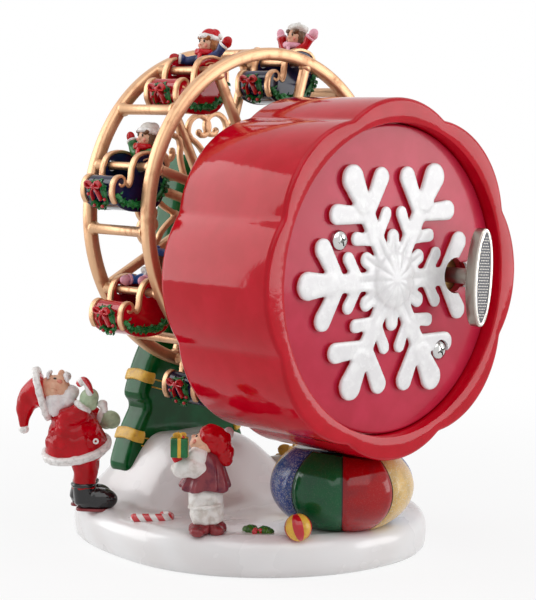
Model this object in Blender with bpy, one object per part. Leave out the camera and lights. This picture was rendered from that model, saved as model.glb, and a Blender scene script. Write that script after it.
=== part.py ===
"""Musical ferris wheel: a wind-up movement in a red drum turns a gold wheel of sleigh gondolas.

Metres, +Z up. The origin is the middle of the snow base's underside. The wheel and the tree stand
towards -Y, the drum's back cover and its key look towards +Y. Every shape is drawn in millimetres
about its own origin and scaled once, where its mesh is made.
"""

import math

import bmesh
import bpy
from mathutils import Matrix, Vector

MM = 0.001
CLEARANCE = 0.3

# Snow base
BASE_HALF_WIDTH = 46.0
BASE_HALF_LENGTH = 53.0
BASE_EDGE_HEIGHT = 10.8
BASE_SIDES = 32
BASE_SQUARENESS = 2.3
DRIFT_CENTRE = (5.0, -22.0)
DRIFT_REACH = (27.0, 20.0)
DRIFT_HEIGHT = 18.5
SEAT_DEPTH = 0.6

# Drum
DRUM_AXIS_HEIGHT = 79.8
DRUM_FRONT = 16.7
DRUM_DEPTH = 42.0
LOBES = 8
LOBE_RADIUS = 48.7
VALLEY_RADIUS = 45.9
LOBE_STEPS = 6
RECESS_RADIUS = 42.0
COVER_LEDGE = 2.0
DRUM_FRONT_WALL = 3.0
COVER_INSET = 3.5
COVER_THICKNESS = 2.5

# Snowflake on the cover
FLAKE_ARMS = 6
FLAKE_ARM_LENGTH = 35.5
FLAKE_HEIGHT = 1.9
FLAKE_ROOT = 3.0
FLAKE_STEP = 0.08
FLAKE_STEM_WIDTH = 5.6
FLAKE_END_WIDTH = 7.4
FLAKE_SIDE_TIP = (27.6, 11.0)
FLAKE_SIDE_ROOT = 19.0
FLAKE_SIDE_WIDTH = 5.4
FLAKE_SMALL_TIP = (15.9, 7.6)
FLAKE_SMALL_ROOT = 10.5
FLAKE_SMALL_WIDTH = 3.9
FLAKE_PETAL_LENGTH = 14.2
FLAKE_PETAL_WIDTH = 4.8
ROSETTE_RADIUS = 8.6
ROSETTE_HEIGHT = 3.0

# Wheel
WHEEL_RISE = 15.6
RING_RADIUS = 45.2
RING_TUBE_RADIUS = 1.7
RING_STEPS = 32
TUBE_SIDES = 8
REAR_RING_Y = 8.2
FRONT_RING_Y = -17.0
GONDOLAS = 8
FIRST_GONDOLA_ANGLE = 17.5
ROD_RADIUS = 1.15
TIE_BAR_RADIUS = 1.45
SPOKE_RADIUS = 1.3
HUB_RADIUS = 6.0
HUB_LENGTH = 4.4
AXLE_RADIUS = 2.0
HEART_RADIUS = 23.5
HEART_SIZE = 9.6
HEART_BAR = (1.5, 1.9)
HEART_STEPS = 9
HEART_STEM_RADIUS = 0.75

# Sleigh gondola, drawn about its rod: x towards the dash, z up
SLEIGH_WIDTH = 14.0
SLEIGH_WALL = 1.5
ROD_HOLE_RADIUS = 3.0
SLEIGH_FLOOR = -12.2
SLEIGH_BACK = -8.8
SLEIGH_DASH = 13.6
SLEIGH_ARCH = 4.8
SEAT_RISE = 0.6

# Tree support
TREE_BEFORE_RING = 14.2
TREE_THICKNESS = 10.0
TREE_OVER_AXLE = 15.9
TREE_FOOT_RISE = 6.6
TREE_FACE_WALL = 1.0
TREE_EDGE = 1.2
TREE_TIERS = ((0.5, 16.5), (0.0, 26.5), (0.0, 32.0))
TREE_TIER_SHARES = (0.475, 0.2247, 0.0)

# Support ball
BALL_SET_BACK = 21.8
BALL_RADIUS = 20.0
BALL_SEAT = 9.4
BALL_SUNK = 1.1
BALL_SADDLE_DEPTH = 4.0
BALL_ROWS = 9
GORES = 8
GORE_STEPS = 3
SEAM_DEPTH = 0.5

# Musical movement
KEY_X = -25.2
KEY_HOLE_RADIUS = 5.0
KEY_STEM_RADIUS = 2.2
KEY_BOW_HEIGHT = 27.0
KEY_BOW_WIDTH = 7.4
KEY_BOW_THICKNESS = 3.8
KEY_BOW_OUT = 8.0
KEY_PANEL_DEPTH = 0.7
KEY_LEAN = 3.6
BEDPLATE = (-32.0, 26.0, -28.0, 22.0)
BEDPLATE_THICKNESS = 2.0
BRIDGE = (-32.0, 6.0, -28.0, 20.0)
BRIDGE_THICKNESS = 1.6
GEAR_FACE = 3.4
GEAR_FRONT = 9.0
GREAT_TEETH = 18
AXLE_TEETH = 24
CYLINDER_TEETH = 9
GOVERNOR_TEETH = 6
BACKLASH = 0.22
TOOTH_RISE = 0.76
TOOTH_DEPTH = 1.0
BARREL_RADIUS = 10.6
CYLINDER_RADIUS = 6.2
CYLINDER_BEARING = -50.0
GOVERNOR_BEARING = -60.0
COMB_TEETH = 16
COMB_PITCH = 1.0
COMB_THICKNESS = 1.4
COMB_REACH = 18.0
SPINDLE_RADIUS = 1.0
ARBOR_RADIUS = 1.6
END_PLAY = 0.2
VANE_WIDTH = 8.0
VANE_THICKNESS = 0.8
SCREW_HEAD_RADIUS = 2.7
SCREW_HEAD_HEIGHT = 1.8
SCREW_SHANK_RADIUS = 1.2
SCREWS = {"cover_screw_upper": (20.0, 11.3), "cover_screw_lower": (-19.5, -20.5)}
PILLAR_RADIUS = 2.2
PLATE_CHAMFER = 6.0
PILLARS = ((-27.5, -21.5), (1.5, -20.5), (-26.0, 17.0))

# Figures and what lies on the snow: place of the seat, and the turn about the vertical
VIEW_TURN = 136.8
SANTA_AT = (0.8043 * BASE_HALF_WIDTH, -0.3962 * BASE_HALF_LENGTH, VIEW_TURN)
SANTA_SEAT_RADIUS = 8.4
ELF_AT = (0.8043 * BASE_HALF_WIDTH, 0.4623 * BASE_HALF_LENGTH, VIEW_TURN)
ELF_SEAT_RADIUS = 7.0
ELF_GIFT_AT = (-7.6, -5.9, 22.2)
ELF_GIFT_SIDE = 4.6
SMALL_BALL_AT = (0.4891 * BASE_HALF_WIDTH, 0.8396 * BASE_HALF_LENGTH)
SMALL_BALL_RADIUS = 3.8
CANDY_AT = (0.8478 * BASE_HALF_WIDTH, 0.0566 * BASE_HALF_LENGTH)
CANDY_LENGTH = 10.5
CANDY_RADIUS = 1.25
HOLLY_AT = (0.587 * BASE_HALF_WIDTH, 0.6132 * BASE_HALF_LENGTH)
GIFT_LARGE_AT = (-0.6522 * BASE_HALF_WIDTH, -0.2358 * BASE_HALF_LENGTH, 12.0)
GIFT_LARGE_SIDE = 11.0
GIFT_SMALL_AT = (-0.837 * BASE_HALF_WIDTH, 0.0094 * BASE_HALF_LENGTH, 30.0)
GIFT_SMALL_SIDE = 8.5

DRUM_BACK = DRUM_FRONT + DRUM_DEPTH
COVER_FACE = DRUM_BACK - COVER_INSET
COVER_INNER = COVER_FACE - COVER_THICKNESS
BEDPLATE_FRONT = COVER_INNER - CLEARANCE - BEDPLATE_THICKNESS
GEAR_Y = DRUM_FRONT + DRUM_FRONT_WALL + GEAR_FRONT
BRIDGE_Y = GEAR_Y - CLEARANCE - BRIDGE_THICKNESS - 0.5
WHEEL_AXIS_HEIGHT = DRUM_AXIS_HEIGHT + WHEEL_RISE
TREE_Y = FRONT_RING_Y - TREE_BEFORE_RING
TREE_TOP = WHEEL_AXIS_HEIGHT + TREE_OVER_AXLE
TREE_FOOT = BASE_EDGE_HEIGHT + TREE_FOOT_RISE
TREE_TIER_HEIGHTS = [TREE_FOOT + share * (TREE_TOP - TREE_FOOT) for share in TREE_TIER_SHARES]
BALL_Y = DRUM_FRONT + BALL_SET_BACK
BALL_TOP = DRUM_AXIS_HEIGHT - LOBE_RADIUS + BALL_SADDLE_DEPTH
BALL_HALF_HEIGHT = (BALL_TOP - BALL_SEAT + BALL_SUNK) / 2
BALL_CENTRE = BALL_TOP - BALL_HALF_HEIGHT
BEDPLATE_BACK = BEDPLATE_FRONT + BEDPLATE_THICKNESS
GEAR_BACK = GEAR_Y + GEAR_FACE
SEAT_TOP = BASE_EDGE_HEIGHT - SEAT_DEPTH

# Each is 1 in the real model, and follows the size that a drawn piece belongs to
SLEIGH_SCALE = RING_RADIUS / 45.2
SANTA_SCALE = SANTA_SEAT_RADIUS / 8.4
ELF_SCALE = (DRUM_AXIS_HEIGHT - LOBE_RADIUS) / 31.1


def material(name, colour, roughness, metallic=0.0):
    made = bpy.data.materials.new(name)
    made.use_nodes = True
    shader = made.node_tree.nodes["Principled BSDF"]
    shader.inputs["Base Color"].default_value = (*colour, 1.0)
    shader.inputs["Roughness"].default_value = roughness
    shader.inputs["Metallic"].default_value = metallic
    return made


# Basic shapes: each is an object at the origin, drawn in millimetres


def shape(name, points, faces):
    """A mesh object from points in millimetres, its faces made to look outwards."""
    form = bmesh.new()
    corners = [form.verts.new(Vector(p)) for p in points]
    for face in faces:
        form.faces.new([corners[i] for i in face])
    bmesh.ops.recalc_face_normals(form, faces=form.faces)
    mesh = bpy.data.meshes.new(name)
    form.to_mesh(mesh)
    form.free()
    made = bpy.data.objects.new(name, mesh)
    bpy.context.scene.collection.objects.link(made)
    return made


def loft(name, rings):
    """Joins rings of equally many points and caps both ends; a ring of one point is a tip."""
    points = []
    starts = []
    for ring in rings:
        starts.append(len(points))
        points.extend(ring)
    faces = []
    for near, far, a, b in zip(rings, rings[1:], starts, starts[1:]):
        sides = max(len(near), len(far))
        for i in range(sides):
            j = (i + 1) % sides
            if len(near) == 1:
                faces.append((a, b + j, b + i))
            elif len(far) == 1:
                faces.append((a + i, a + j, b))
            else:
                faces.append((a + i, a + j, b + j, b + i))
    for ring, start in ((rings[0], starts[0]), (rings[-1], starts[-1])):
        if len(ring) > 2:
            faces.append(tuple(range(start, start + len(ring))))
    return shape(name, points, faces)


def turned(name, profile, sides=16, axis="Z"):
    """A turned solid: profile runs as (radius, height) along the axis, from end to end."""
    rings = []
    for radius, height in profile:
        if radius == 0:
            rings.append([(0.0, 0.0, height)])
            continue
        angles = [2 * math.pi * (i + 0.5) / sides for i in range(sides)]
        rings.append([(radius * math.cos(a), radius * math.sin(a), height) for a in angles])
    made = loft(name, rings)
    if axis == "Y":
        transform(made, Matrix.Rotation(math.radians(-90), 4, "X"))
    return made


def rod(name, radius, start, end, sides=TUBE_SIDES, end_radius=None):
    """A straight round bar between two points."""
    start, end = Vector(start), Vector(end)
    run = end - start
    made = turned(name, ((radius, 0.0), (end_radius or radius, run.length)), sides)
    transform(made, Matrix.Translation(start) @ run.to_track_quat("Z", "Y").to_matrix().to_4x4())
    return made


def ball(name, centre, radii, turn=0.0, sides=10, rows=6):
    """An ellipsoid, tilted about Y by turn degrees."""
    profile = []
    for i in range(rows + 1):
        a = math.pi * i / rows
        profile.append((math.sin(a) if 0 < i < rows else 0, -math.cos(a)))
    made = turned(name, profile, sides)
    transform(
        made,
        Matrix.Translation(centre)
        @ Matrix.Rotation(math.radians(turn), 4, "Y")
        @ Matrix.Diagonal((*radii, 1.0)),
    )
    return made


def prism(name, outline, low, high, axis="Y"):
    """An outline of (x, z) points made a plate between two values of the axis."""
    if axis == "Y":
        rings = [[(x, y, z) for x, z in outline] for y in (low, high)]
    else:
        rings = [[(x, y, z) for x, y in outline] for z in (low, high)]
    return loft(name, rings)


def swept(name, path, section, closed=False):
    """Sweeps a section of (across, Y) points along a path in the XZ plane."""
    rings = []
    count = len(path)
    for i, (x, z) in enumerate(path):
        before = path[(i - 1) % count] if closed or i else path[0]
        after = path[(i + 1) % count] if closed or i < count - 1 else path[-1]
        along = Vector((after[0] - before[0], after[1] - before[1])).normalized()
        across = Vector((-along.y, along.x))
        rings.append([(x + across.x * u, y, z + across.y * u) for u, y in section])
    if not closed:
        return loft(name, rings)
    sides = len(section)
    points = [p for ring in rings for p in ring]
    faces = []
    for i in range(count):
        for j in range(sides):
            a, b = i * sides, ((i + 1) % count) * sides
            k = (j + 1) % sides
            faces.append((a + j, a + k, b + k, b + j))
    return shape(name, points, faces)


def transform(made, matrix):
    made.data.transform(matrix)
    if matrix.determinant() < 0:
        made.data.flip_normals()


def moved(made, x=0.0, y=0.0, z=0.0):
    transform(made, Matrix.Translation((x, y, z)))
    return made


def combined(body, tools, operation):
    """Joins or cuts the body with each tool in turn and removes the tools."""
    for tool in tools:
        step = body.modifiers.new("step", "BOOLEAN")
        step.solver = "EXACT"
        step.operation = operation
        step.object = tool
        seen = body.evaluated_get(bpy.context.evaluated_depsgraph_get())
        result = bpy.data.meshes.new_from_object(seen)
        body.modifiers.clear()
        old = body.data
        body.data = result
        bpy.data.meshes.remove(old)
        bpy.data.objects.remove(tool)
    return body


def union(body, *tools):
    return combined(body, tools, "UNION")


def cut(body, *tools):
    return combined(body, tools, "DIFFERENCE")


def smooth_outline(points, steps):
    """A closed smooth curve through the points, with so many steps from each to the next."""
    count = len(points)
    curve = []
    for i in range(count):
        p0, p1, p2, p3 = (Vector(points[(i + k) % count]) for k in (-1, 0, 1, 2))
        for step in range(steps):
            t = step / steps
            at = 0.5 * (
                2 * p1
                + (p2 - p0) * t
                + (2 * p0 - 5 * p1 + 4 * p2 - p3) * t**2
                + (3 * p1 - p0 - 3 * p2 + p3) * t**3
            )
            curve.append((at.x, at.y))
    return curve


def circle(radius, sides=16, centre=(0.0, 0.0)):
    angles = [2 * math.pi * (i + 0.5) / sides for i in range(sides)]
    return [(centre[0] + radius * math.cos(a), centre[1] + radius * math.sin(a)) for a in angles]


def finish(made, name, look, at=(0.0, 0.0, 0.0), turn=0.0, parent=None, smooth=35):
    """Names the piece, scales it to metres, puts it in place and gives it its look."""
    made.name = name
    made.data.name = name
    transform(made, Matrix.Diagonal((MM, MM, MM, 1.0)))
    made.data.materials.clear()
    made.data.materials.append(look)
    made.data.shade_smooth()
    made.data.set_sharp_from_angle(angle=math.radians(smooth))
    made.rotation_euler.z = math.radians(turn)
    made.location = Vector(at) * MM
    if parent:
        made.parent = parent
        made.location -= parent.location
    return made


def pivot(name, at):
    """An empty on a joint's axis, which carries the pieces that turn about it."""
    made = bpy.data.objects.new(name, None)
    made.location = Vector(at) * MM
    bpy.context.scene.collection.objects.link(made)
    return made


# Snow base


def base_edge(angle):
    """How far the base reaches from the origin in a direction, with a soft uneven rim."""
    x, y = math.cos(angle) / BASE_HALF_WIDTH, math.sin(angle) / BASE_HALF_LENGTH
    reach = (abs(x) ** BASE_SQUARENESS + abs(y) ** BASE_SQUARENESS) ** (-1 / BASE_SQUARENESS)
    return reach * (1 + 0.014 * math.sin(3 * angle + 0.6) + 0.01 * math.sin(5 * angle))


def snow_height(x, y):
    """The snow's surface: level with the rim, with the drift that carries the tree."""
    across = abs(x - DRIFT_CENTRE[0]) / DRIFT_REACH[0]
    along = abs(y - DRIFT_CENTRE[1]) / DRIFT_REACH[1]
    ripple = 0.25 * math.sin(x / 7.0) * math.cos(y / 9.0)
    return BASE_EDGE_HEIGHT + DRIFT_HEIGHT * math.exp(-(across**4) - along**4) + ripple


def snow_base(look):
    angles = [2 * math.pi * i / BASE_SIDES for i in range(BASE_SIDES)]

    def ring(share, height=None):
        points = []
        for a in angles:
            x, y = share * base_edge(a) * math.cos(a), share * base_edge(a) * math.sin(a)
            points.append((x, y, snow_height(x, y) if height is None else height))
        return points

    rim = ((0.965, 0.0), (0.995, 0.13), (1.0, 0.56), (0.98, 0.83), (0.94, 0.963))
    rings = [ring(share, height * BASE_EDGE_HEIGHT) for share, height in rim]
    rings += [ring(share) for share in (0.86, 0.72, 0.57, 0.42, 0.27, 0.12)]
    rings.append([(0.0, 0.0, snow_height(0.0, 0.0))])
    body = loft("snow", rings)
    seats = [
        seat(SANTA_AT, SANTA_SEAT_RADIUS, SEAT_TOP),
        seat(ELF_AT, ELF_SEAT_RADIUS * ELF_SCALE, SEAT_TOP),
        seat(SMALL_BALL_AT, SMALL_BALL_RADIUS * 0.62, SEAT_TOP),
        seat((0.0, BALL_Y), BALL_RADIUS * 0.8, BALL_SEAT),
        seat(HOLLY_AT, 5.2, SEAT_TOP),
        seat(CANDY_AT, CANDY_LENGTH * 0.72, SEAT_TOP),
        seat(GIFT_LARGE_AT, GIFT_LARGE_SIDE * 0.8, SEAT_TOP),
        seat(GIFT_SMALL_AT, GIFT_SMALL_SIDE * 0.8, SEAT_TOP),
        tree_seat(),
    ]
    return finish(cut(body, *seats), "snow_base", look)


def seat(place, radius, height):
    """The cutter of a flat seat in the snow."""
    tool = turned("seat", ((radius, height), (radius, height + 40.0)), 10)
    return moved(tool, place[0], place[1])


def tree_seat():
    half = TREE_TIERS[-1][1] + CLEARANCE + 0.4
    low, high = TREE_FOOT - CLEARANCE, TREE_FOOT + 40.0
    deep = TREE_THICKNESS / 2 + CLEARANCE
    outline = ((-half, low), (half, low), (half, high), (-half, high))
    return prism("tree_seat", outline, TREE_Y - deep, TREE_Y + deep)


# Support ball


def support_ball(look):
    """An ornament of eight gores with sunk seams, its top hollowed to carry the drum."""
    sides = GORES * GORE_STEPS
    rings = []
    for row in range(BALL_ROWS + 1):
        a = math.pi * row / BALL_ROWS
        if row in (0, BALL_ROWS):
            rings.append([(0.0, 0.0, -BALL_HALF_HEIGHT * math.cos(a))])
            continue
        ring = []
        for i in range(sides):
            turn = 2 * math.pi * i / sides
            sink = SEAM_DEPTH if i % GORE_STEPS == 0 else 0.0
            radius = (BALL_RADIUS - sink) * math.sin(a)
            height = -(BALL_HALF_HEIGHT - sink) * math.cos(a)
            ring.append((radius * math.cos(turn), radius * math.sin(turn), height))
        rings.append(ring)
    body = loft("ball", rings)
    below = BALL_SEAT + CLEARANCE - BALL_CENTRE
    wide = BALL_RADIUS * 1.2
    foot = turned("foot", ((wide, below - BALL_RADIUS), (wide, below)), 12)
    saddle = prism("saddle", circle(LOBE_RADIUS + CLEARANCE, 96), -wide, wide)
    moved(saddle, 0.0, 0.0, DRUM_AXIS_HEIGHT - BALL_CENTRE)
    return finish(cut(body, foot, saddle), "support_ball", look, at=(0.0, BALL_Y, BALL_CENTRE))


# Drum and cover


def lobed(inset):
    """The drum's outline: broad lobes that meet in soft valleys, drawn in by inset."""
    points = []
    count = LOBES * LOBE_STEPS
    for i in range(count):
        a = 2 * math.pi * i / count
        swell = abs(math.cos(LOBES * a / 2)) ** 0.75
        radius = VALLEY_RADIUS + (LOBE_RADIUS - VALLEY_RADIUS) * swell - inset
        points.append((radius * math.cos(a), radius * math.sin(a)))
    return points


def drum_housing(look):
    profile = (
        (DRUM_FRONT, 2.6),
        (DRUM_FRONT + 0.9, 0.8),
        (DRUM_FRONT + 2.6, 0.0),
        (DRUM_BACK - 3.6, 0.0),
        (DRUM_BACK - 1.2, 0.7),
        (DRUM_BACK, 2.4),
    )
    rings = [[(x, y, z) for x, z in lobed(inset)] for y, inset in profile]
    body = loft("drum", rings)
    ledge = COVER_INNER - CLEARANCE
    recess = prism("recess", circle(RECESS_RADIUS, 44), ledge, DRUM_BACK + 2.0)
    hollow = prism(
        "hollow",
        circle(RECESS_RADIUS - COVER_LEDGE, 32),
        DRUM_FRONT + DRUM_FRONT_WALL,
        ledge + 1.0,
    )
    bearing = prism(
        "bearing",
        circle(AXLE_RADIUS + CLEARANCE, 12, (0.0, WHEEL_RISE)),
        DRUM_FRONT - 2.0,
        DRUM_FRONT + DRUM_FRONT_WALL + 2.0,
    )
    cut(body, recess, hollow, bearing)
    return finish(body, "drum_housing", look, at=(0.0, 0.0, DRUM_AXIS_HEIGHT))


def petal(start, end, start_width, end_width, low, high):
    """A plate with round ends, wider at one end than at the other."""
    start, end = Vector(start), Vector(end)
    along = (end - start).normalized()
    heading = math.atan2(along.y, along.x)
    outline = []
    for centre, width, first in ((start, start_width, 90), (end, end_width, -90)):
        for step in range(4):
            a = heading + math.radians(first + 60 * step)
            outline.append((centre.x + width / 2 * math.cos(a), centre.y + width / 2 * math.sin(a)))
    return prism("petal", outline, low, high)


def snowflake():
    """The relief's pieces, each a little unlike its neighbour in height, about the cover's centre."""
    root = COVER_FACE - 1.0
    pieces = []
    for arm in range(FLAKE_ARMS):
        turn = Matrix.Rotation(2 * math.pi * arm / FLAKE_ARMS, 2)
        rise = COVER_FACE + FLAKE_HEIGHT
        tip = FLAKE_ARM_LENGTH - FLAKE_END_WIDTH / 2
        middle = (FLAKE_SIDE_ROOT + tip) / 2
        plan = [
            ((FLAKE_ROOT, 0.0), (middle, 0.0), FLAKE_STEM_WIDTH, FLAKE_STEM_WIDTH, 0),
            ((middle - 2.0, 0.0), (tip, 0.0), FLAKE_STEM_WIDTH * 0.9, FLAKE_END_WIDTH, 1),
        ]
        for side in (-1, 1):
            for root_at, tip_at, width, level in (
                (FLAKE_SIDE_ROOT, FLAKE_SIDE_TIP, FLAKE_SIDE_WIDTH, -1),
                (FLAKE_SMALL_ROOT, FLAKE_SMALL_TIP, FLAKE_SMALL_WIDTH, -2),
            ):
                reach = Vector(tip_at) - Vector((root_at, 0.0))
                end = Vector(tip_at) - reach.normalized() * width / 2
                narrow = FLAKE_STEM_WIDTH * 0.57
                plan.append(((root_at, 0.0), (end.x, side * end.y), narrow, width, level))
        for start, end, start_width, end_width, level in plan:
            top = rise + level * FLAKE_STEP
            start, end = turn @ Vector(start), turn @ Vector(end)
            pieces.append(petal(start, end, start_width, end_width, root, top))
        between = Matrix.Rotation(2 * math.pi * (arm + 0.5) / FLAKE_ARMS, 2)
        start = between @ Vector((FLAKE_ROOT, 0.0))
        end = between @ Vector((FLAKE_PETAL_LENGTH - FLAKE_PETAL_WIDTH / 2, 0.0))
        top = rise - 3 * FLAKE_STEP
        pieces.append(petal(start, end, FLAKE_ROOT, FLAKE_PETAL_WIDTH, root, top))
    dome = (
        (ROSETTE_RADIUS, root),
        (ROSETTE_RADIUS, COVER_FACE + 0.7 * ROSETTE_HEIGHT),
        (0.7 * ROSETTE_RADIUS, COVER_FACE + 0.9 * ROSETTE_HEIGHT),
        (0.0, COVER_FACE + ROSETTE_HEIGHT),
    )
    pieces.append(turned("dome", dome, 12, "Y"))
    return pieces


def back_cover(look):
    radius = RECESS_RADIUS - CLEARANCE
    body = prism("disc", circle(radius, 44), COVER_INNER, COVER_FACE)
    union(body, *snowflake())
    deep, proud = COVER_INNER - 2.0, COVER_FACE + 10.0
    tools = [prism("key_hole", circle(KEY_HOLE_RADIUS, 18, (KEY_X, 0.0)), deep, proud)]
    for at in SCREWS.values():
        shank = circle(SCREW_SHANK_RADIUS + CLEARANCE, 10, at)
        head = circle(SCREW_HEAD_RADIUS + CLEARANCE, 12, at)
        tools.append(prism("shank_hole", shank, deep, proud))
        tools.append(prism("head_room", head, COVER_FACE, proud))
    cut(body, *tools)
    return finish(body, "back_cover", look, at=(0.0, 0.0, DRUM_AXIS_HEIGHT))


def cover_screw(name, look):
    """A pan-head screw with a cross recess, through the cover into the bedplate."""
    under = COVER_FACE + CLEARANCE
    profile = (
        (SCREW_SHANK_RADIUS, BEDPLATE_FRONT),
        (SCREW_SHANK_RADIUS, under),
        (SCREW_HEAD_RADIUS, under),
        (SCREW_HEAD_RADIUS, under + 0.5 * SCREW_HEAD_HEIGHT),
        (SCREW_HEAD_RADIUS * 0.6, under + SCREW_HEAD_HEIGHT),
    )
    body = turned("screw", profile, 12, "Y")
    low, high = under + 0.45 * SCREW_HEAD_HEIGHT, under + SCREW_HEAD_HEIGHT + 1.0
    half, slot = SCREW_HEAD_RADIUS * 0.55, 0.3
    for across, up in ((half, slot), (slot, half)):
        outline = ((-across, -up), (across, -up), (across, up), (-across, up))
        cut(body, prism("slot", outline, low, high))
    x, z = SCREWS[name]
    return finish(body, name, look, at=(x, 0.0, DRUM_AXIS_HEIGHT + z))


# Musical movement


def gear_outline(teeth, module, phase):
    """Straight-sided teeth; phase is the angle of the middle of one tooth."""
    pitch_radius = module * teeth / 2
    tip, root = pitch_radius + TOOTH_RISE * module, pitch_radius - TOOTH_DEPTH * module
    pitch = 2 * math.pi / teeth
    slack = BACKLASH / pitch_radius
    outline = []
    for i in range(teeth):
        middle = phase + i * pitch
        at_root, at_tip = 0.40 * pitch - slack, 0.13 * pitch - slack / 2
        for radius, offset in ((root, -at_root), (tip, -at_tip), (tip, at_tip), (root, at_root)):
            a = middle + offset
            outline.append((radius * math.cos(a), radius * math.sin(a)))
    return outline


def meshed_phase(bearing, phase, teeth, other_teeth):
    """The phase of a gear that meshes with another, seen from that other at a bearing."""
    pitch = 2 * math.pi / teeth
    offset = (phase - bearing) % pitch
    gap = bearing + math.pi - (offset + pitch / 2) * teeth / other_teeth
    return gap


class Train:
    """The gear train's centres and phases, worked out from the shafts that the object shows."""

    def __init__(self):
        key = Vector((KEY_X, DRUM_AXIS_HEIGHT))
        axle = Vector((0.0, WHEEL_AXIS_HEIGHT))
        self.module = 2 * (axle - key).length / (GREAT_TEETH + AXLE_TEETH)
        self.key, self.axle = key, axle
        to_axle = math.atan2(axle.y - key.y, axle.x - key.x)
        to_cylinder = math.radians(CYLINDER_BEARING)
        to_governor = math.radians(GOVERNOR_BEARING)
        self.cylinder = key + self.step(to_cylinder, GREAT_TEETH, CYLINDER_TEETH)
        self.governor = self.cylinder + self.step(to_governor, CYLINDER_TEETH, GOVERNOR_TEETH)
        self.great_phase = to_axle
        self.axle_phase = meshed_phase(to_axle, self.great_phase, GREAT_TEETH, AXLE_TEETH)
        self.cylinder_phase = meshed_phase(
            to_cylinder, self.great_phase, GREAT_TEETH, CYLINDER_TEETH
        )
        self.governor_phase = meshed_phase(
            to_governor, self.cylinder_phase, CYLINDER_TEETH, GOVERNOR_TEETH
        )

    def step(self, bearing, teeth, other_teeth):
        reach = self.module * (teeth + other_teeth) / 2
        return Vector((reach * math.cos(bearing), reach * math.sin(bearing)))


def gear(teeth, train, phase):
    outline = gear_outline(teeth, train.module, phase)
    return prism("gear", outline, GEAR_Y, GEAR_BACK)


def chamfered(left, right, bottom, top, chamfer):
    """A rectangle's outline with its corners cut off."""
    return (
        (left + chamfer, bottom),
        (right - chamfer, bottom),
        (right, bottom + chamfer),
        (right, top - chamfer),
        (right - chamfer, top),
        (left + chamfer, top),
        (left, top - chamfer),
        (left, bottom + chamfer),
    )


def plate(name, extent, low, high, holes):
    """A plate over the given x and z extent about the drum's axis, with round holes."""
    left, right, bottom, top = extent
    body = prism(name, chamfered(left, right, bottom, top, PLATE_CHAMFER), low, high)
    tools = []
    for (x, z), radius in holes:
        tools.append(prism("hole", circle(radius, 10, (x, z)), low - 1.0, high + 1.0))
    return cut(body, *tools)


def about_drum(point):
    """A point of the gear train, given from the drum's axis."""
    return (point.x, point.y - DRUM_AXIS_HEIGHT)


def movement_bedplate(look, train):
    spindle = SPINDLE_RADIUS + CLEARANCE
    holes = [
        (about_drum(train.axle), AXLE_RADIUS + CLEARANCE),
        ((KEY_X, 0.0), KEY_STEM_RADIUS + CLEARANCE),
        (about_drum(train.cylinder), spindle),
        (about_drum(train.governor), spindle),
    ]
    holes += [(at, SCREW_SHANK_RADIUS + CLEARANCE) for at in SCREWS.values()]
    body = plate("bedplate", BEDPLATE, BEDPLATE_FRONT, BEDPLATE_BACK, holes)
    pillar_end = BRIDGE_Y + BRIDGE_THICKNESS + CLEARANCE
    for at in PILLARS:
        union(body, prism("pillar", circle(PILLAR_RADIUS, 8, at), pillar_end, BEDPLATE_FRONT + 1.0))
    x, z = about_drum(train.cylinder)
    shelf = comb_shelf(x, z)
    union(body, prism("shelf", shelf, comb_front(), BEDPLATE_FRONT + 1.0))
    return finish(body, "movement_bedplate", look, at=(0.0, 0.0, DRUM_AXIS_HEIGHT))


def comb_front():
    return BEDPLATE_FRONT - 1.0 - (COMB_TEETH + 1) * COMB_PITCH


def comb_shelf(x, z):
    """The section of the block that the comb lies on."""
    left, right = x + CYLINDER_RADIUS + COMB_REACH / 2 + 0.5, x + CYLINDER_RADIUS + COMB_REACH
    top = z - COMB_THICKNESS / 2 - CLEARANCE
    return ((left, top - 3.5), (right, top - 3.5), (right, top), (left, top))


def comb(look, train):
    """A steel comb of sixteen reeds, their tips just clear of the cylinder."""
    x, z = about_drum(train.cylinder)
    near = x + CYLINDER_RADIUS + CLEARANCE
    heel, far = x + CYLINDER_RADIUS + COMB_REACH / 2, x + CYLINDER_RADIUS + COMB_REACH
    start = comb_front()
    outline = [(far, start), (far, start + (COMB_TEETH + 1) * COMB_PITCH)]
    for tooth in reversed(range(COMB_TEETH)):
        middle = start + (tooth + 1) * COMB_PITCH
        half = 0.3 * COMB_PITCH
        root = heel - 0.12 * tooth
        outline += [
            (root, middle + half),
            (near, middle + half),
            (near, middle - half),
            (root, middle - half),
        ]
    body = prism("comb", outline, z - COMB_THICKNESS / 2, z + COMB_THICKNESS / 2, axis="Z")
    return finish(body, "comb", look, at=(0.0, 0.0, DRUM_AXIS_HEIGHT))


def movement_bridge(look, train):
    spindle = SPINDLE_RADIUS + CLEARANCE
    holes = [
        ((KEY_X, 0.0), ARBOR_RADIUS + CLEARANCE),
        (about_drum(train.cylinder), spindle),
        (about_drum(train.governor), spindle),
        (about_drum(train.axle), AXLE_RADIUS + CLEARANCE),
    ]
    body = plate("bridge", BRIDGE, BRIDGE_Y, BRIDGE_Y + BRIDGE_THICKNESS, holes)
    return finish(body, "movement_bridge", look, at=(0.0, 0.0, DRUM_AXIS_HEIGHT))


def spring_barrel(look):
    """The mainspring's can, round the winding arbor and standing on the bedplate."""
    front, back = GEAR_BACK + 1.2, BEDPLATE_FRONT - CLEARANCE
    profile = ((BARREL_RADIUS - 1.0, front), (BARREL_RADIUS, front + 1.0), (BARREL_RADIUS, back))
    body = turned("barrel", profile, 20, "Y")
    bore = prism("bore", circle(KEY_STEM_RADIUS + CLEARANCE, 10), front - 1.0, back + 1.0)
    return finish(cut(body, bore), "spring_barrel", look, at=(KEY_X, 0.0, DRUM_AXIS_HEIGHT))


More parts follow.
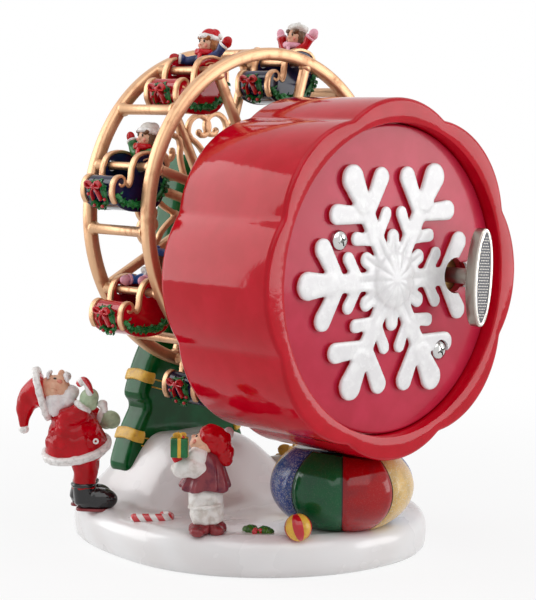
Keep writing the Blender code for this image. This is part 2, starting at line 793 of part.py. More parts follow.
def winding_key(look):
    """The key with its oval bow, and the arbor that it winds, as one turning piece."""
    out = COVER_FACE + KEY_BOW_OUT
    gear_end = GEAR_BACK + 2 * CLEARANCE
    profile = (
        (ARBOR_RADIUS, BRIDGE_Y - 0.6),
        (ARBOR_RADIUS, gear_end),
        (KEY_STEM_RADIUS, gear_end),
        (KEY_STEM_RADIUS, out + 1.0),
    )
    body = turned("stem", profile, 12, "Y")
    half_height, half_width = KEY_BOW_HEIGHT / 2, KEY_BOW_WIDTH / 2

    def oval(scale_x, scale_z, count=20):
        wide, high = half_width * scale_x, half_height * scale_z
        angles = [2 * math.pi * i / count for i in range(count)]
        return [(wide * math.cos(a), high * math.sin(a)) for a in angles]

    face = out + KEY_BOW_THICKNESS
    levels = (
        (out, 0.86, 0.96),
        (out + 0.5, 1.0, 1.0),
        (face - 0.5, 1.0, 1.0),
        (face, 0.9, 0.975),
    )
    bow = loft("bow", [[(x, y, z) for x, z in oval(s, t)] for y, s, t in levels])
    panel = prism("panel", oval(0.58, 0.84, 16), face - KEY_PANEL_DEPTH, face + 1.0)
    cut(bow, panel)
    transform(bow, Matrix.Rotation(math.radians(-KEY_LEAN), 4, "Y"))
    return finish(union(body, bow), "winding_key", look, at=(KEY_X, 0.0, DRUM_AXIS_HEIGHT))


def bored(body, radius, low, high):
    """Drills a running or sliding fit through the body, along Y."""
    return cut(body, prism("bore", circle(radius + CLEARANCE, 12), low - 1.0, high + 1.0))


def great_gear(look, train):
    body = bored(gear(GREAT_TEETH, train, train.great_phase), ARBOR_RADIUS, GEAR_Y, GEAR_BACK)
    return finish(body, "great_gear", look, at=(train.key.x, 0.0, train.key.y))


def axle_gear(look, train, parent):
    body = bored(gear(AXLE_TEETH, train, train.axle_phase), AXLE_RADIUS, GEAR_Y, GEAR_BACK)
    at = (train.axle.x, 0.0, train.axle.y)
    return finish(body, "axle_gear", look, at=at, parent=parent)


def music_cylinder(look, train):
    """The pinned cylinder with its pinion and its two pivots."""
    end = BEDPLATE_FRONT - CLEARANCE
    profile = (
        (SPINDLE_RADIUS, BRIDGE_Y),
        (SPINDLE_RADIUS, GEAR_BACK - 0.5),
        (0.8 * CYLINDER_RADIUS, GEAR_BACK - 0.5),
        (CYLINDER_RADIUS, GEAR_BACK + 0.7),
        (CYLINDER_RADIUS, end),
        (SPINDLE_RADIUS, end),
        (SPINDLE_RADIUS, BEDPLATE_BACK - END_PLAY),
    )
    body = gear(CYLINDER_TEETH, train, train.cylinder_phase)
    union(body, turned("cylinder", profile, 14, "Y"))
    return finish(body, "music_cylinder", look, at=(train.cylinder.x, 0.0, train.cylinder.y))


def governor(look, train):
    """The air brake: a pinion, and a flat vane on a thin spindle."""
    ends = ((SPINDLE_RADIUS, BRIDGE_Y), (SPINDLE_RADIUS, BEDPLATE_BACK - END_PLAY))
    half, thin = VANE_WIDTH / 2, VANE_THICKNESS / 2
    outline = ((-half, -thin), (half, -thin), (half, thin), (-half, thin))
    vane = prism("vane", outline, GEAR_BACK + 3.0, BEDPLATE_FRONT - 3.0)
    body = gear(GOVERNOR_TEETH, train, train.governor_phase)
    union(body, turned("spindle", ends, 8, "Y"), vane)
    return finish(body, "governor", look, at=(train.governor.x, 0.0, train.governor.y))


# Wheel


def heart_half(side):
    """One side of a heart: from its point at the hub's side, round the lobe, into a curl."""
    size = HEART_SIZE
    path = []
    for i in range(HEART_STEPS):
        t = i / (HEART_STEPS - 1)
        if t < 0.3:
            s = t / 0.3
            x, z = 0.70 * s, -1.05 + 0.85 * s + 0.14 * math.sin(math.pi * s)
        else:
            s = (t - 0.3) / 0.7
            turn = math.radians(-15 + 395 * s)
            reach = 0.50 * (1 - s) + 0.13 * s
            x, z = 0.30 + reach * math.cos(turn) - 0.08 * s, 0.06 + reach * math.sin(turn)
        path.append((side * x * size, HEART_RADIUS + z * size))
    return path


def heart(turn):
    """A heart scroll of two curled flat bars, its point towards the hub."""
    across, deep = HEART_BAR[0] / 2, HEART_BAR[1] / 2
    halves = []
    for side, slack in ((1, 0.0), (-1, 0.05)):
        back = deep + slack
        section = ((-across, -deep), (across, -deep), (across, back), (-across, back))
        half = swept("scroll", heart_half(side), section)
        transform(half, Matrix.Rotation(-turn, 4, "Y"))
        halves.append(half)
    return halves


def wheel_frame(name, look, ring_y, with_hearts, parent):
    """A ring with its hub and spokes, drawn in its own plane about the axle."""
    first = math.radians(FIRST_GONDOLA_ANGLE)
    angles = [first + 2 * math.pi * i / RING_STEPS for i in range(RING_STEPS)]
    path = [(RING_RADIUS * math.cos(a), RING_RADIUS * math.sin(a)) for a in angles]
    body = swept("ring", path, circle(RING_TUBE_RADIUS, TUBE_SIDES), closed=True)
    half, rounding = HUB_LENGTH / 2, 0.8
    profile = (
        (HUB_RADIUS - rounding, -half),
        (HUB_RADIUS, -half + rounding),
        (HUB_RADIUS, half - rounding),
        (HUB_RADIUS - rounding, half),
    )
    hub = turned("hub", profile, 12, "Y")
    for i in range(GONDOLAS):
        a = first + 2 * math.pi * i / GONDOLAS
        along = Vector((math.cos(a), 0.0, math.sin(a)))
        union(body, rod("spoke", SPOKE_RADIUS, along * (HUB_RADIUS - 1.5), along * RING_RADIUS, 6))
    union(body, hub)
    if with_hearts:
        for i in range(GONDOLAS):
            middle = first + 2 * math.pi * (i + 0.5) / GONDOLAS
            stem_end = HEART_RADIUS - 0.9 * HEART_SIZE
            out = Vector((math.cos(middle), 0.0, math.sin(middle)))
            stem = rod("stem", HEART_STEM_RADIUS, out * (HUB_RADIUS - 1.0), out * stem_end, 6)
            union(body, stem, *heart(middle - math.pi / 2))
    bored(body, AXLE_RADIUS, -half, half)
    return finish(body, name, look, at=(0.0, ring_y, WHEEL_AXIS_HEIGHT), parent=parent)


def wheel_axle(look, parent):
    front = TREE_Y - TREE_THICKNESS / 2 + TREE_FACE_WALL + END_PLAY
    back = BEDPLATE_BACK - 2 * END_PLAY
    chamfer = AXLE_RADIUS / 4
    profile = (
        (AXLE_RADIUS - chamfer, front),
        (AXLE_RADIUS, front + chamfer),
        (AXLE_RADIUS, back - chamfer),
        (AXLE_RADIUS - chamfer, back),
    )
    body = turned("axle", profile, 12, "Y")
    return finish(body, "wheel_axle", look, at=(0.0, 0.0, WHEEL_AXIS_HEIGHT), parent=parent)


def cross_bar(name, radius, angle, look, parent):
    """A bar along Y between the flats that the two rings turn to each other."""
    flat = RING_TUBE_RADIUS * math.cos(math.pi / TUBE_SIDES) + CLEARANCE
    low, high = FRONT_RING_Y + flat, REAR_RING_Y - flat
    body = turned(name, ((radius, low), (radius, high)), TUBE_SIDES, "Y")
    a = math.radians(angle)
    at = (RING_RADIUS * math.cos(a), 0.0, WHEEL_AXIS_HEIGHT + RING_RADIUS * math.sin(a))
    return finish(body, name, look, at=at, parent=parent)


# Gondolas


def sleigh_outline():
    """The side of a sleigh: curled dash, dip, high arch over the rod, rounded back and keel."""
    arch, floor, back, dash = SLEIGH_ARCH, SLEIGH_FLOOR, SLEIGH_BACK, SLEIGH_DASH
    points = (
        (0.0, arch),
        (3.3, arch - 1.6),
        (4.7, arch - 5.6),
        (6.1, arch - 9.0),
        (7.9, arch - 8.2),
        (9.0, arch - 5.4),
        (11.4, arch - 4.6),
        (dash, arch - 7.4),
        (dash - 0.3, floor + 5.6),
        (dash - 3.4, floor + 1.7),
        (4.0, floor),
        (-3.5, floor + 0.6),
        (back + 1.0, floor + 4.4),
        (back, floor + 11.0),
        (back + 1.6, arch - 2.4),
        (-4.0, arch - 0.7),
    )
    return scaled(smooth_outline(points, 2))


def scaled(outline):
    return [(x * SLEIGH_SCALE, z * SLEIGH_SCALE) for x, z in outline]


def sleigh_cavity():
    """What is hollow between the two sides, open at the top."""
    wall, floor, back, dash = SLEIGH_WALL, SLEIGH_FLOOR, SLEIGH_BACK, SLEIGH_DASH
    points = (
        (back + wall, SLEIGH_ARCH + 3.0),
        (back + wall, floor + 9.2),
        (back + wall + 1.3, floor + 4.6),
        (-3.2, floor + wall + 0.7),
        (4.0, floor + wall),
        (dash - 4.4, floor + wall + 1.6),
        (dash - 2.0, floor + 6.0),
        (dash - 2.4, SLEIGH_ARCH - 7.8),
        (8.2, SLEIGH_ARCH - 6.4),
        (6.4, SLEIGH_ARCH + 3.0),
    )
    return scaled(points)


def sleigh(name, look, parent):
    half = SLEIGH_SCALE * SLEIGH_WIDTH / 2
    inner = half - SLEIGH_SCALE * SLEIGH_WALL
    body = prism("sides", sleigh_outline(), -half, half)
    hollow = prism("hollow", sleigh_cavity(), -inner, inner)
    drop = ROD_HOLE_RADIUS - ROD_RADIUS - CLEARANCE
    hole = prism("hole", circle(ROD_HOLE_RADIUS, 10, (0.0, -drop)), -half - 1.0, half + 1.0)
    cut(body, hollow, hole)
    return finish(body, name, look, at=gondola_at(parent), parent=parent)


def gondola_at(parent):
    return parent.location / MM


POSES = (
    {"left": (1.6, -6.0, 8.8), "right": (-2.8, 7.0, 9.8), "hat": "bobble"},
    {"left": (-1.6, -6.4, 10.4), "right": (-1.6, 6.4, 10.4), "hat": "beret"},
    {"left": (1.2, -5.6, 10.2), "right": (2.8, 3.6, 4.0), "hat": "beret"},
    {"left": (2.9, -3.4, 3.8), "right": (2.8, 3.6, 4.4), "hat": "bobble"},
)


def passenger(name, pose, look, parent):
    """A seated child behind the rod: legs under it, body, two arms, head and hat."""
    seat = SLEIGH_FLOOR + SLEIGH_WALL + SEAT_RISE
    behind = -(ROD_RADIUS + CLEARANCE) / SLEIGH_SCALE
    depth = behind - (SLEIGH_BACK + SLEIGH_WALL + CLEARANCE + 0.5)
    middle = behind - depth / 2
    profile = ((2.3, seat + 2.9), (3.2, seat + 4.4), (2.9, 2.4), (2.2, 5.2), (1.2, 7.4))
    body = turned("body", profile, 6)
    narrowed = Matrix.Diagonal((depth / 7.0, 1, 1, 1))
    transform(body, Matrix.Translation((middle, 0.0, 0.0)) @ narrowed)
    legs = ball("legs", (1.2, 0.0, seat + 2.1), (5.4, 3.2, 2.1), 0.0, 6, 4)
    head = ball("head", (middle, 0.0, 9.2), (2.9, 2.8, 3.0), 0.0, 6, 5)
    union(body, legs, head)
    for side in ("left", "right"):
        hand = Vector(pose[side])
        shoulder = Vector((middle, math.copysign(2.0, hand.y), 4.4))
        elbow = shoulder.lerp(hand, 0.72)
        union(body, rod("sleeve", 1.2, shoulder, elbow, 4, 1.3))
        union(body, rod("mitten", 0.8, shoulder.lerp(hand, 0.62), hand, 4, 1.5))
    if pose["hat"] == "bobble":
        union(body, ball("crown", (middle - 0.8, 0.0, 11.6), (3.1, 3.1, 2.9), -14.0, 6, 4))
    else:
        union(body, ball("beret", (middle - 0.8, 0.0, 11.5), (3.2, 3.2, 1.9), -16.0, 6, 4))
    transform(body, Matrix.Scale(SLEIGH_SCALE, 4))
    return finish(body, name, look, at=gondola_at(parent), parent=parent)


# Tree support


def tree_outline():
    """A stepped fir tree: three tiers with rounded tips, about the middle of the plate."""
    right = [(1.6, TREE_TOP)]
    width = 1.6
    for (notch, tip), height in zip(TREE_TIERS, TREE_TIER_HEIGHTS):
        steps = 4
        start_width, start = width, right[-1][1]
        low = height + 2.6
        for i in range(1, steps):
            t = i / steps
            belly = 1.2 * math.sin(math.pi * t)
            x = start_width + (tip - start_width) * t + belly
            right.append((x, start + (low - start) * t))
        right += [(tip, low), (tip + 0.1, height + 1.0), (tip - 1.6, height)]
        if height != TREE_TIER_HEIGHTS[-1]:
            width = tip - 4.6 + notch
            right.append((width, height - 1.0))
    left = [(-x, z) for x, z in reversed(right)]
    return right + left


def tree_support(look):
    """The tree as a thick plate with rounded edges and the axle's bearing."""
    half = TREE_THICKNESS / 2
    body = prism("tree", tree_outline(), -half, half)
    bevel = body.modifiers.new("edges", "BEVEL")
    bevel.width = TREE_EDGE
    bevel.segments = 1
    bevel.limit_method = "ANGLE"
    bevel.angle_limit = math.radians(60)
    hole = circle(AXLE_RADIUS + CLEARANCE, 12, (0.0, WHEEL_AXIS_HEIGHT))
    cut(body, prism("bearing", hole, -half + TREE_FACE_WALL, half + 2.0))
    return finish(body, "tree_support", look, at=(0.0, TREE_Y, 0.0))


# Figures and trimmings on the snow


def ground(top=CLEARANCE):
    """What is cut off below, so that a piece lies flat just above its seat."""
    wide, deep = 30.0, 20.0
    outline = ((-wide, -deep), (wide, -deep), (wide, top), (-wide, top))
    return prism("ground", outline, -wide, wide)


def santa_figure(look):
    """Santa leaning back to look up: drawn with x the way that he faces."""
    body = turned("coat", ((5.2, 13.0), (8.7, 15.6), (8.8, 17.6), (7.6, 24.0), (4.0, 31.0)), 12)
    lean = Matrix.Shear("XY", 4, (-0.32, 0.0))
    transform(body, Matrix.Translation((-0.6, 0.0, 0.0)) @ lean)
    legs = rod("legs", 4.3, (-2.6, 0.0, 5.0), (-3.8, 0.0, 16.0), 8, 5.2)
    parts = [legs]
    for side in (-1, 1):
        y = side * 3.4
        parts.append(ball("boot", (-0.6, y, 3.6), (6.4, 3.1, 3.9), -6.0, 8, 5))
        parts.append(rod("shaft", 3.0, (-3.4, side * 2.6, 3.0), (-3.0, side * 2.4, 9.0), 6, 3.4))
    parts += [
        ball("beard", (-8.6, 0.0, 31.6), (5.4, 4.6, 5.2), 28.0, 8, 5),
        ball("head", (-11.6, 0.0, 34.6), (4.6, 4.5, 4.4), 20.0, 8, 6),
        ball("fur", (-15.4, 0.0, 34.0), (1.9, 5.5, 6.9), 10.0, 8, 6),
        rod("hat", 5.0, (-15.8, 0.0, 34.0), (-21.0, 0.0, 32.6), 8, 3.4),
        rod("hat_tail", 3.5, (-20.4, 0.0, 33.4), (-21.6, 0.0, 25.0), 6, 1.3),
        ball("pompom", (-21.4, 0.0, 23.8), (2.3, 2.3, 2.3), 0.0, 6, 4),
        rod("arm_up", 3.1, (-9.0, -4.4, 27.0), (-3.0, -4.4, 31.6), 6, 2.7),
        ball("mitten_up", (-0.6, -4.0, 33.6), (3.4, 3.2, 3.9), 25.0, 8, 5),
        rod("arm_low", 3.1, (-8.0, 5.2, 27.0), (-0.4, 5.6, 26.0), 6, 2.6),
        ball("mitten_low", (2.6, 5.2, 25.4), (3.4, 2.8, 2.9), 0.0, 8, 5),
    ]
    union(body, *parts)
    transform(body, Matrix.Scale(SANTA_SCALE, 4))
    cut(body, ground())
    at = (SANTA_AT[0], SANTA_AT[1], SEAT_TOP)
    return finish(body, "santa_figure", look, at=at, turn=SANTA_AT[2])


def elf_figure(look):
    """An elf looking up to the wheel: drawn with x to the right of the view from the key's side."""
    body = turned("vest", ((4.8, 11.0), (6.7, 12.6), (6.0, 16.0), (4.4, 20.0), (3.0, 23.4)), 10)
    parts = [rod("trousers", 3.6, (-0.6, 0.0, 3.0), (-0.8, 0.0, 12.0), 8, 4.4)]
    for side in (-1, 1):
        parts.append(ball("shoe", (-0.2 + side * 2.3, -0.6, 2.0), (3.0, 4.2, 2.6), 0.0, 8, 4))
    parts += [
        ball("head", (-1.2, 0.0, 24.6), (3.6, 3.5, 3.7), 0.0, 8, 6),
        ball("hat", (2.2, 0.0, 25.4), (3.7, 4.1, 5.4), -16.0, 8, 6),
        ball("hat_tail", (4.9, 0.2, 21.4), (2.0, 2.2, 3.6), 10.0, 6, 5),
        rod("sleeve_left", 2.6, (-2.4, -1.2, 20.4), (-6.4, -2.4, 19.8), 6, 3.3),
        ball("mitten_left", (-8.0, -2.6, 21.2), (1.6, 1.6, 1.9), 0.0, 6, 4),
        rod("sleeve_right", 2.4, (1.4, 1.6, 20.2), (4.4, 4.9, 24.0), 6, 2.5),
        ball("mitten_right", (4.9, 5.5, 25.6), (1.6, 1.6, 1.9), 0.0, 6, 4),
    ]
    union(body, *parts)
    transform(body, Matrix.Scale(ELF_SCALE, 4))
    cut(body, ground())
    return finish(body, "elf_figure", look, at=(ELF_AT[0], ELF_AT[1], SEAT_TOP), turn=ELF_AT[2])


def box(name, side, height, low=0.0):
    half = side / 2
    outline = chamfered(-half, half, -half, half, 0.08 * side)
    return prism(name, outline, low, low + height, axis="Z")


def gift(name, side, height, look, at, turn=0.0):
    """A gift box with its bow, as one casting."""
    body = box("gift", side, height, CLEARANCE)
    for lean in (-1, 1):
        loop = ball("bow", (lean * side * 0.2, 0.0, height + side * 0.1),
                    (side * 0.22, side * 0.13, side * 0.14), lean * 20.0, 6, 4)
        union(body, loop)
    return finish(body, name, look, at=at, turn=turn)


def elf_gift(look):
    """The gift that the elf holds up beside the sleeve."""
    a = math.radians(ELF_AT[2])
    along, across, rise = (ELF_SCALE * value for value in ELF_GIFT_AT)
    x = ELF_AT[0] + along * math.cos(a) - across * math.sin(a)
    y = ELF_AT[1] + along * math.sin(a) + across * math.cos(a)
    side = ELF_SCALE * ELF_GIFT_SIDE
    return gift("elf_gift", side, 1.17 * side, look, (x, y, SEAT_TOP + rise), ELF_AT[2])


def small_ball(look):
    body = ball("ornament", (0.0, 0.0, 0.0), (SMALL_BALL_RADIUS,) * 3, 0.0, 12, 7)
    under = -SMALL_BALL_RADIUS * 0.82
    cut(body, ground(under))
    at = (SMALL_BALL_AT[0], SMALL_BALL_AT[1], SEAT_TOP + CLEARANCE - under)
    return finish(body, "small_ball", look, at=at)


def candy_cane(look):
    """A hooked stick of candy lying on the snow."""
    half = CANDY_LENGTH / 2
    hook = CANDY_LENGTH * 0.2
    path = [(-half, 0.0), (0.0, 0.0), (half - hook, 0.0)]
    for step in range(1, 6):
        a = math.radians(-90 + 36 * step)
        path.append((half - hook + hook * math.cos(a), hook + hook * math.sin(a)))
    body = swept("cane", path, circle(CANDY_RADIUS, 6))
    transform(body, Matrix.Rotation(math.radians(90), 4, "X"))
    lift = CANDY_RADIUS * math.cos(math.pi / 6) + CLEARANCE
    at = (CANDY_AT[0], CANDY_AT[1], SEAT_TOP + lift)
    return finish(body, "candy_cane", look, at=at, turn=VIEW_TURN)


def holly_sprig(look):
    """Two pointed leaves and three berries."""
    body = ball("berry", (0.0, 0.0, 1.1), (1.2, 1.2, 1.2), 0.0, 6, 4)
    for x, y in ((1.2, 1.0), (-0.9, 1.3)):
        union(body, ball("berry", (x, y, 1.05), (1.1, 1.1, 1.1), 0.0, 6, 4))
    for heading in (150.0, 260.0):
        outline = []
        for i in range(10):
            a = 2 * math.pi * i / 10
            spike = 1.0 if i % 2 == 0 else 0.66
            outline.append((2.4 + 2.5 * spike * math.cos(a), 1.5 * spike * math.sin(a)))
        leaf = prism("leaf", outline, CLEARANCE + 0.06 * (heading > 200), 1.1, axis="Z")
        transform(leaf, Matrix.Rotation(math.radians(heading), 4, "Z"))
        union(body, leaf)
    cut(body, ground())
    return finish(body, "holly_sprig", look, at=(HOLLY_AT[0], HOLLY_AT[1], SEAT_TOP))


def build():
    for old in list(bpy.data.objects):
        bpy.data.objects.remove(old)

    snow = material("snow", (0.86, 0.86, 0.88), 0.32)
    red = material("drum_red", (0.55, 0.012, 0.022), 0.16)
    satin = material("cover_red", (0.50, 0.035, 0.06), 0.38)
    chrome = material("chrome", (0.78, 0.78, 0.77), 0.12, 1.0)
    nickel = material("nickel", (0.66, 0.62, 0.55), 0.28, 1.0)
    brass = material("brass", (0.72, 0.52, 0.22), 0.3, 1.0)
    steel = material("steel", (0.52, 0.53, 0.55), 0.35, 1.0)
    gold = material("antique_gold", (0.62, 0.36, 0.13), 0.36, 0.9)
    green = material("tree_green", (0.0, 0.12, 0.045), 0.14)
    navy = material("sleigh_navy", (0.012, 0.014, 0.06), 0.16)
    sleigh_red = material("sleigh_red", (0.45, 0.01, 0.02), 0.16)
    paint = material("figure_paint", (0.6, 0.06, 0.06), 0.4)
    skin = material("doll_paint", (0.75, 0.42, 0.3), 0.45)
    ball_paint = material("ball_paint", (0.05, 0.09, 0.35), 0.2)
    candy = material("candy_white", (0.85, 0.82, 0.8), 0.25)
    leaf = material("holly_green", (0.02, 0.16, 0.03), 0.35)
    wrap = material("gift_paint", (0.02, 0.2, 0.06), 0.3)

    train = Train()
    snow_base(snow)
    support_ball(ball_paint)
    drum_housing(red)
    back_cover(satin)
    for name in SCREWS:
        cover_screw(name, chrome)
    tree_support(green)
    movement_bedplate(brass, train)
    movement_bridge(brass, train)
    spring_barrel(steel)
    comb(steel, train)
    winding_key(nickel)
    great_gear(brass, train)
    music_cylinder(brass, train)
    governor(brass, train)

    wheel = pivot("wheel_pivot", (0.0, 0.0, WHEEL_AXIS_HEIGHT))
    wheel_axle(steel, wheel)
    axle_gear(brass, train, wheel)
    wheel_frame("rear_wheel_frame", gold, REAR_RING_Y, False, wheel)
    wheel_frame("front_wheel_frame", gold, FRONT_RING_Y, True, wheel)
    middle_y = (REAR_RING_Y + FRONT_RING_Y) / 2
    for i in range(GONDOLAS):
        angle = FIRST_GONDOLA_ANGLE + 360 * i / GONDOLAS
        number = i + 1
        cross_bar(f"gondola_rod_{number}", ROD_RADIUS, angle, gold, wheel)
        cross_bar(f"tie_bar_{number}", TIE_BAR_RADIUS, angle + 180 / GONDOLAS, gold, wheel)
        a = math.radians(angle)
        at = (RING_RADIUS * math.cos(a), middle_y, WHEEL_AXIS_HEIGHT + RING_RADIUS * math.sin(a))
        hanger = pivot(f"gondola_pivot_{number}", at)
        sleigh(f"sleigh_{number}", navy if i % 2 == 0 else sleigh_red, hanger)
        passenger(f"passenger_{number}", POSES[i % len(POSES)], skin, hanger)

    santa_figure(paint)
    elf_figure(paint)
    elf_gift(wrap)
    small_ball(ball_paint)
    candy_cane(candy)
    holly_sprig(leaf)
    gift("gift_box_large", GIFT_LARGE_SIDE, GIFT_LARGE_SIDE * 0.8, candy,
         (GIFT_LARGE_AT[0], GIFT_LARGE_AT[1], SEAT_TOP), GIFT_LARGE_AT[2])
    gift("gift_box_small", GIFT_SMALL_SIDE, GIFT_SMALL_SIDE * 0.8, wrap,
         (GIFT_SMALL_AT[0], GIFT_SMALL_AT[1], SEAT_TOP), GIFT_SMALL_AT[2])


build()
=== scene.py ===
"""Musical ferris wheel: lacquered drum, gold wheel with sleighs, and the figures on the snow.

Shapes are drawn in millimetres in the frame of the part: +Z up, the wheel and the tree towards -Y,
the snowflake cover and the key towards +Y.
"""

import math

import bmesh
import bpy
from mathutils import Matrix, Vector, noise


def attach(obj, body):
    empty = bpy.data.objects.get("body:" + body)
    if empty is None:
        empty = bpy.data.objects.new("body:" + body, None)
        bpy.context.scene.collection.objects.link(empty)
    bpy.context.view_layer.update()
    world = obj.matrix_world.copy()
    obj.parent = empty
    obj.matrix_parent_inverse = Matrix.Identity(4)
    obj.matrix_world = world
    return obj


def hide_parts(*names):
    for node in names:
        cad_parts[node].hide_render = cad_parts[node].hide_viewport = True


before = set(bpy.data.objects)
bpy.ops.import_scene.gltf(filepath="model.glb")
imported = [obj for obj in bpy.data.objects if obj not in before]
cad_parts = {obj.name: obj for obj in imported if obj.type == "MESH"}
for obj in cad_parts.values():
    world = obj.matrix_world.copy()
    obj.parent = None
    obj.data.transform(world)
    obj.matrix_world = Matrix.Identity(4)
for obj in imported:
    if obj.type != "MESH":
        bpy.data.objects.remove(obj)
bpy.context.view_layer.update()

MM = 0.001

# Sizes in millimetres and degrees

DRUM_Z = 79.8
DRUM_FRONT, DRUM_BACK = 16.7, 58.7
DRUM_VALLEY, DRUM_REACH = 45.9, 48.7
COVER_FACE, COVER_INNER = 55.2, 52.7
WHEEL_Z = 95.4
RING_RADIUS = 45.2
REAR_RING_Y, FRONT_RING_Y = 8.2, -17.0
GONDOLA_Y = -4.4
GONDOLAS = 8
FIRST_ANGLE = 17.5
BETWEEN_GONDOLAS = 360 / GONDOLAS
AXLE_BORE = 2.3
COVER_RADIUS, RECESS_RADIUS = 41.7, 42.0
KEY_X, KEY_HOLE = -25.2, 5.0
# The screws' (x, z) from the drum's axis
SCREWS = {"cover_screw_upper": (20.0, 11.3), "cover_screw_lower": (-19.5, -20.5)}
BALL_Y, BALL_RADIUS, BALL_HALF_HEIGHT = 38.5, 20.0, 13.4
BASE_HALF_WIDTH, BASE_HALF_LENGTH = 46.0, 53.0
SNOW_TOP, SNOW_SEAT = 10.8, 10.2
DRIFT_X, DRIFT_Y, DRIFT_RISE = 5.0, -22.0, 18.5
DRIFT_LEFT, DRIFT_RIGHT, DRIFT_HALF_DEPTH = 27.0, 19.0, 20.0
FIGURE_TURN = 136.8
SANTA_SPOT, ELF_SPOT = (37.0, -21.0), (37.0, 24.5)
TREE_FRONT, TREE_BACK = -36.2, -26.2
# Each tier's top and its half width there, then its tip and its half width there
TREE_TIERS = ((111.3, 1.6, 62.4, 11.5), (60.6, 9.2, 38.2, 18.5), (36.2, 16.6, 17.6, 23.8))
# Each ribbon's height and width
RIBBONS = ((46.2, 3.4), (29.0, 3.6))
ALONG_AXLE = (0.0, 1.0, 0.0)


# Shader maths


class Value:
    """A socket of a shader tree; arithmetic on it adds Math nodes."""

    def __init__(self, finish, socket):
        self.finish, self.socket = finish, socket

    def math(self, operation, *others):
        return self.finish.node("ShaderNodeMath", {"operation": operation}, self, *others)

    def __add__(self, other):
        return self.math("ADD", other)

    __radd__ = __add__

    def __sub__(self, other):
        return self.math("SUBTRACT", other)

    def __rsub__(self, other):
        return self.finish.node("ShaderNodeMath", {"operation": "SUBTRACT"}, other, self)

    def __mul__(self, other):
        return self.math("MULTIPLY", other)

    __rmul__ = __mul__

    def __truediv__(self, other):
        return self.math("DIVIDE", other)

    def above(self, level):
        return self.math("GREATER_THAN", level)

    def step(self, low, high):
        """0 below low, 1 above high and smooth between them."""
        return self.finish.node(
            "ShaderNodeMapRange",
            {"interpolation_type": "SMOOTHSTEP"},
            **{"Value": self, "From Min": low, "From Max": high},
        )


class Finish:
    """A material with one main shader, built from the object's own coordinates."""

    def __init__(self, name, colour, roughness=0.35, metallic=0.0, **constants):
        self.material = bpy.data.materials.new(name)
        self.material.use_nodes = True
        self.tree = self.material.node_tree
        self.shader = self.tree.nodes["Principled BSDF"]
        self.set("Base Color", (*colour, 1.0))
        self.set("Roughness", roughness)
        self.set("Metallic", metallic)
        for socket, number in constants.items():
            self.set(socket.replace("_", " ").title().replace("Ior", "IOR"), number)

    def set(self, socket, value):
        target = self.shader.inputs[socket]
        if isinstance(value, Value):
            self.tree.links.new(value.socket, target)
        else:
            target.default_value = value
        return self

    def node(self, kind, settings=None, *values, output=0, **named):
        made = self.tree.nodes.new(kind)
        for key, setting in (settings or {}).items():
            setattr(made, key, setting)
        pairs = [(made.inputs[i], v) for i, v in enumerate(values)]
        for key, v in named.items():
            pairs.append((made.inputs[int(key[1:]) if key[0] == "_" else key], v))
        for socket, value in pairs:
            if isinstance(value, Value):
                self.tree.links.new(value.socket, socket)
            else:
                socket.default_value = value
        return Value(self, made.outputs[output])

    def place(self, scale=(1.0, 1.0, 1.0), at=(0.0, 0.0, 0.0), turn=(0.0, 0.0, 0.0)):
        """The point on the object in millimetres, moved, turned and stretched."""
        where = self.node("ShaderNodeTexCoord", output=3)
        mapping = {"Location": tuple(-a * s for a, s in zip(at, scale)), "Rotation": turn}
        mapping["Scale"] = tuple(s / MM for s in scale)
        return self.node("ShaderNodeMapping", {"vector_type": "POINT"}, where, **mapping)

    def noise(self, scale, detail=3.0, roughness=0.55, vector=None):
        """Uneven cloud about 1/scale millimetres across, from 0 to 1."""
        named = {"Vector": vector or self.place(), "Scale": scale, "Detail": detail}
        return self.node("ShaderNodeTexNoise", None, **named, Roughness=roughness)

    def cells(self, scale, vector=None, output=0):
        """Grains about 1/scale millimetres across: their distance, or a colour for each."""
        named = {"Vector": vector or self.place(), "Scale": scale}
        return self.node("ShaderNodeTexVoronoi", None, output=output, **named)

    def mix(self, factor, first, second):
        """Between two colours; a plain colour is given as three numbers."""
        first, second = (c if isinstance(c, Value) else (*c, 1.0) for c in (first, second))
        return self.node(
            "ShaderNodeMix", {"data_type": "RGBA"}, output=2, _0=factor, _6=first, _7=second
        )

    def bump(self, height, distance=0.1, strength=1.0):
        """Relief of the given depth in millimetres."""
        named = {"Height": height, "Distance": distance * MM, "Strength": strength}
        self.set("Normal", self.node("ShaderNodeBump", None, **named))
        return self

    def parts(self, vector):
        """The three numbers of a vector."""
        first = self.node("ShaderNodeSeparateXYZ", None, vector)
        return [Value(self, socket) for socket in first.socket.node.outputs]


def lacquer(name, deep, bright, roughness=0.08, coat=0.6, uneven=0.06):
    """Poured gloss paint over resin: colour pools a little and the surface is softly uneven."""
    finish = Finish(name, deep, roughness, coat_weight=coat, coat_roughness=0.04, specular_ior_level=0.22)
    cloud = finish.noise(0.12, 3.0)
    finish.set("Base Color", finish.mix(cloud.step(0.35, 0.7), deep, bright))
    fine = finish.noise(0.9, 4.0)
    finish.set("Roughness", roughness + 0.08 * fine.step(0.5, 0.8))
    return finish.bump(finish.noise(0.22, 2.0) + 0.15 * fine, uneven)


def resin_paint(name, colour, dark, roughness=0.34, relief=0.05, scale=0.8):
    """Hand paint on cast resin, darker where it pools, with brush streaks."""
    finish = Finish(name, colour, roughness, coat_weight=0.1, coat_roughness=0.12, specular_ior_level=0.28)
    cloud = finish.noise(scale * 0.5, 4.0, 0.6)
    finish.set("Base Color", finish.mix(cloud.step(0.4, 0.72), colour, dark))
    finish.set("Roughness", roughness - 0.1 + 0.25 * finish.noise(scale, 3.0))
    return finish.bump(finish.noise(scale, 4.0), relief)


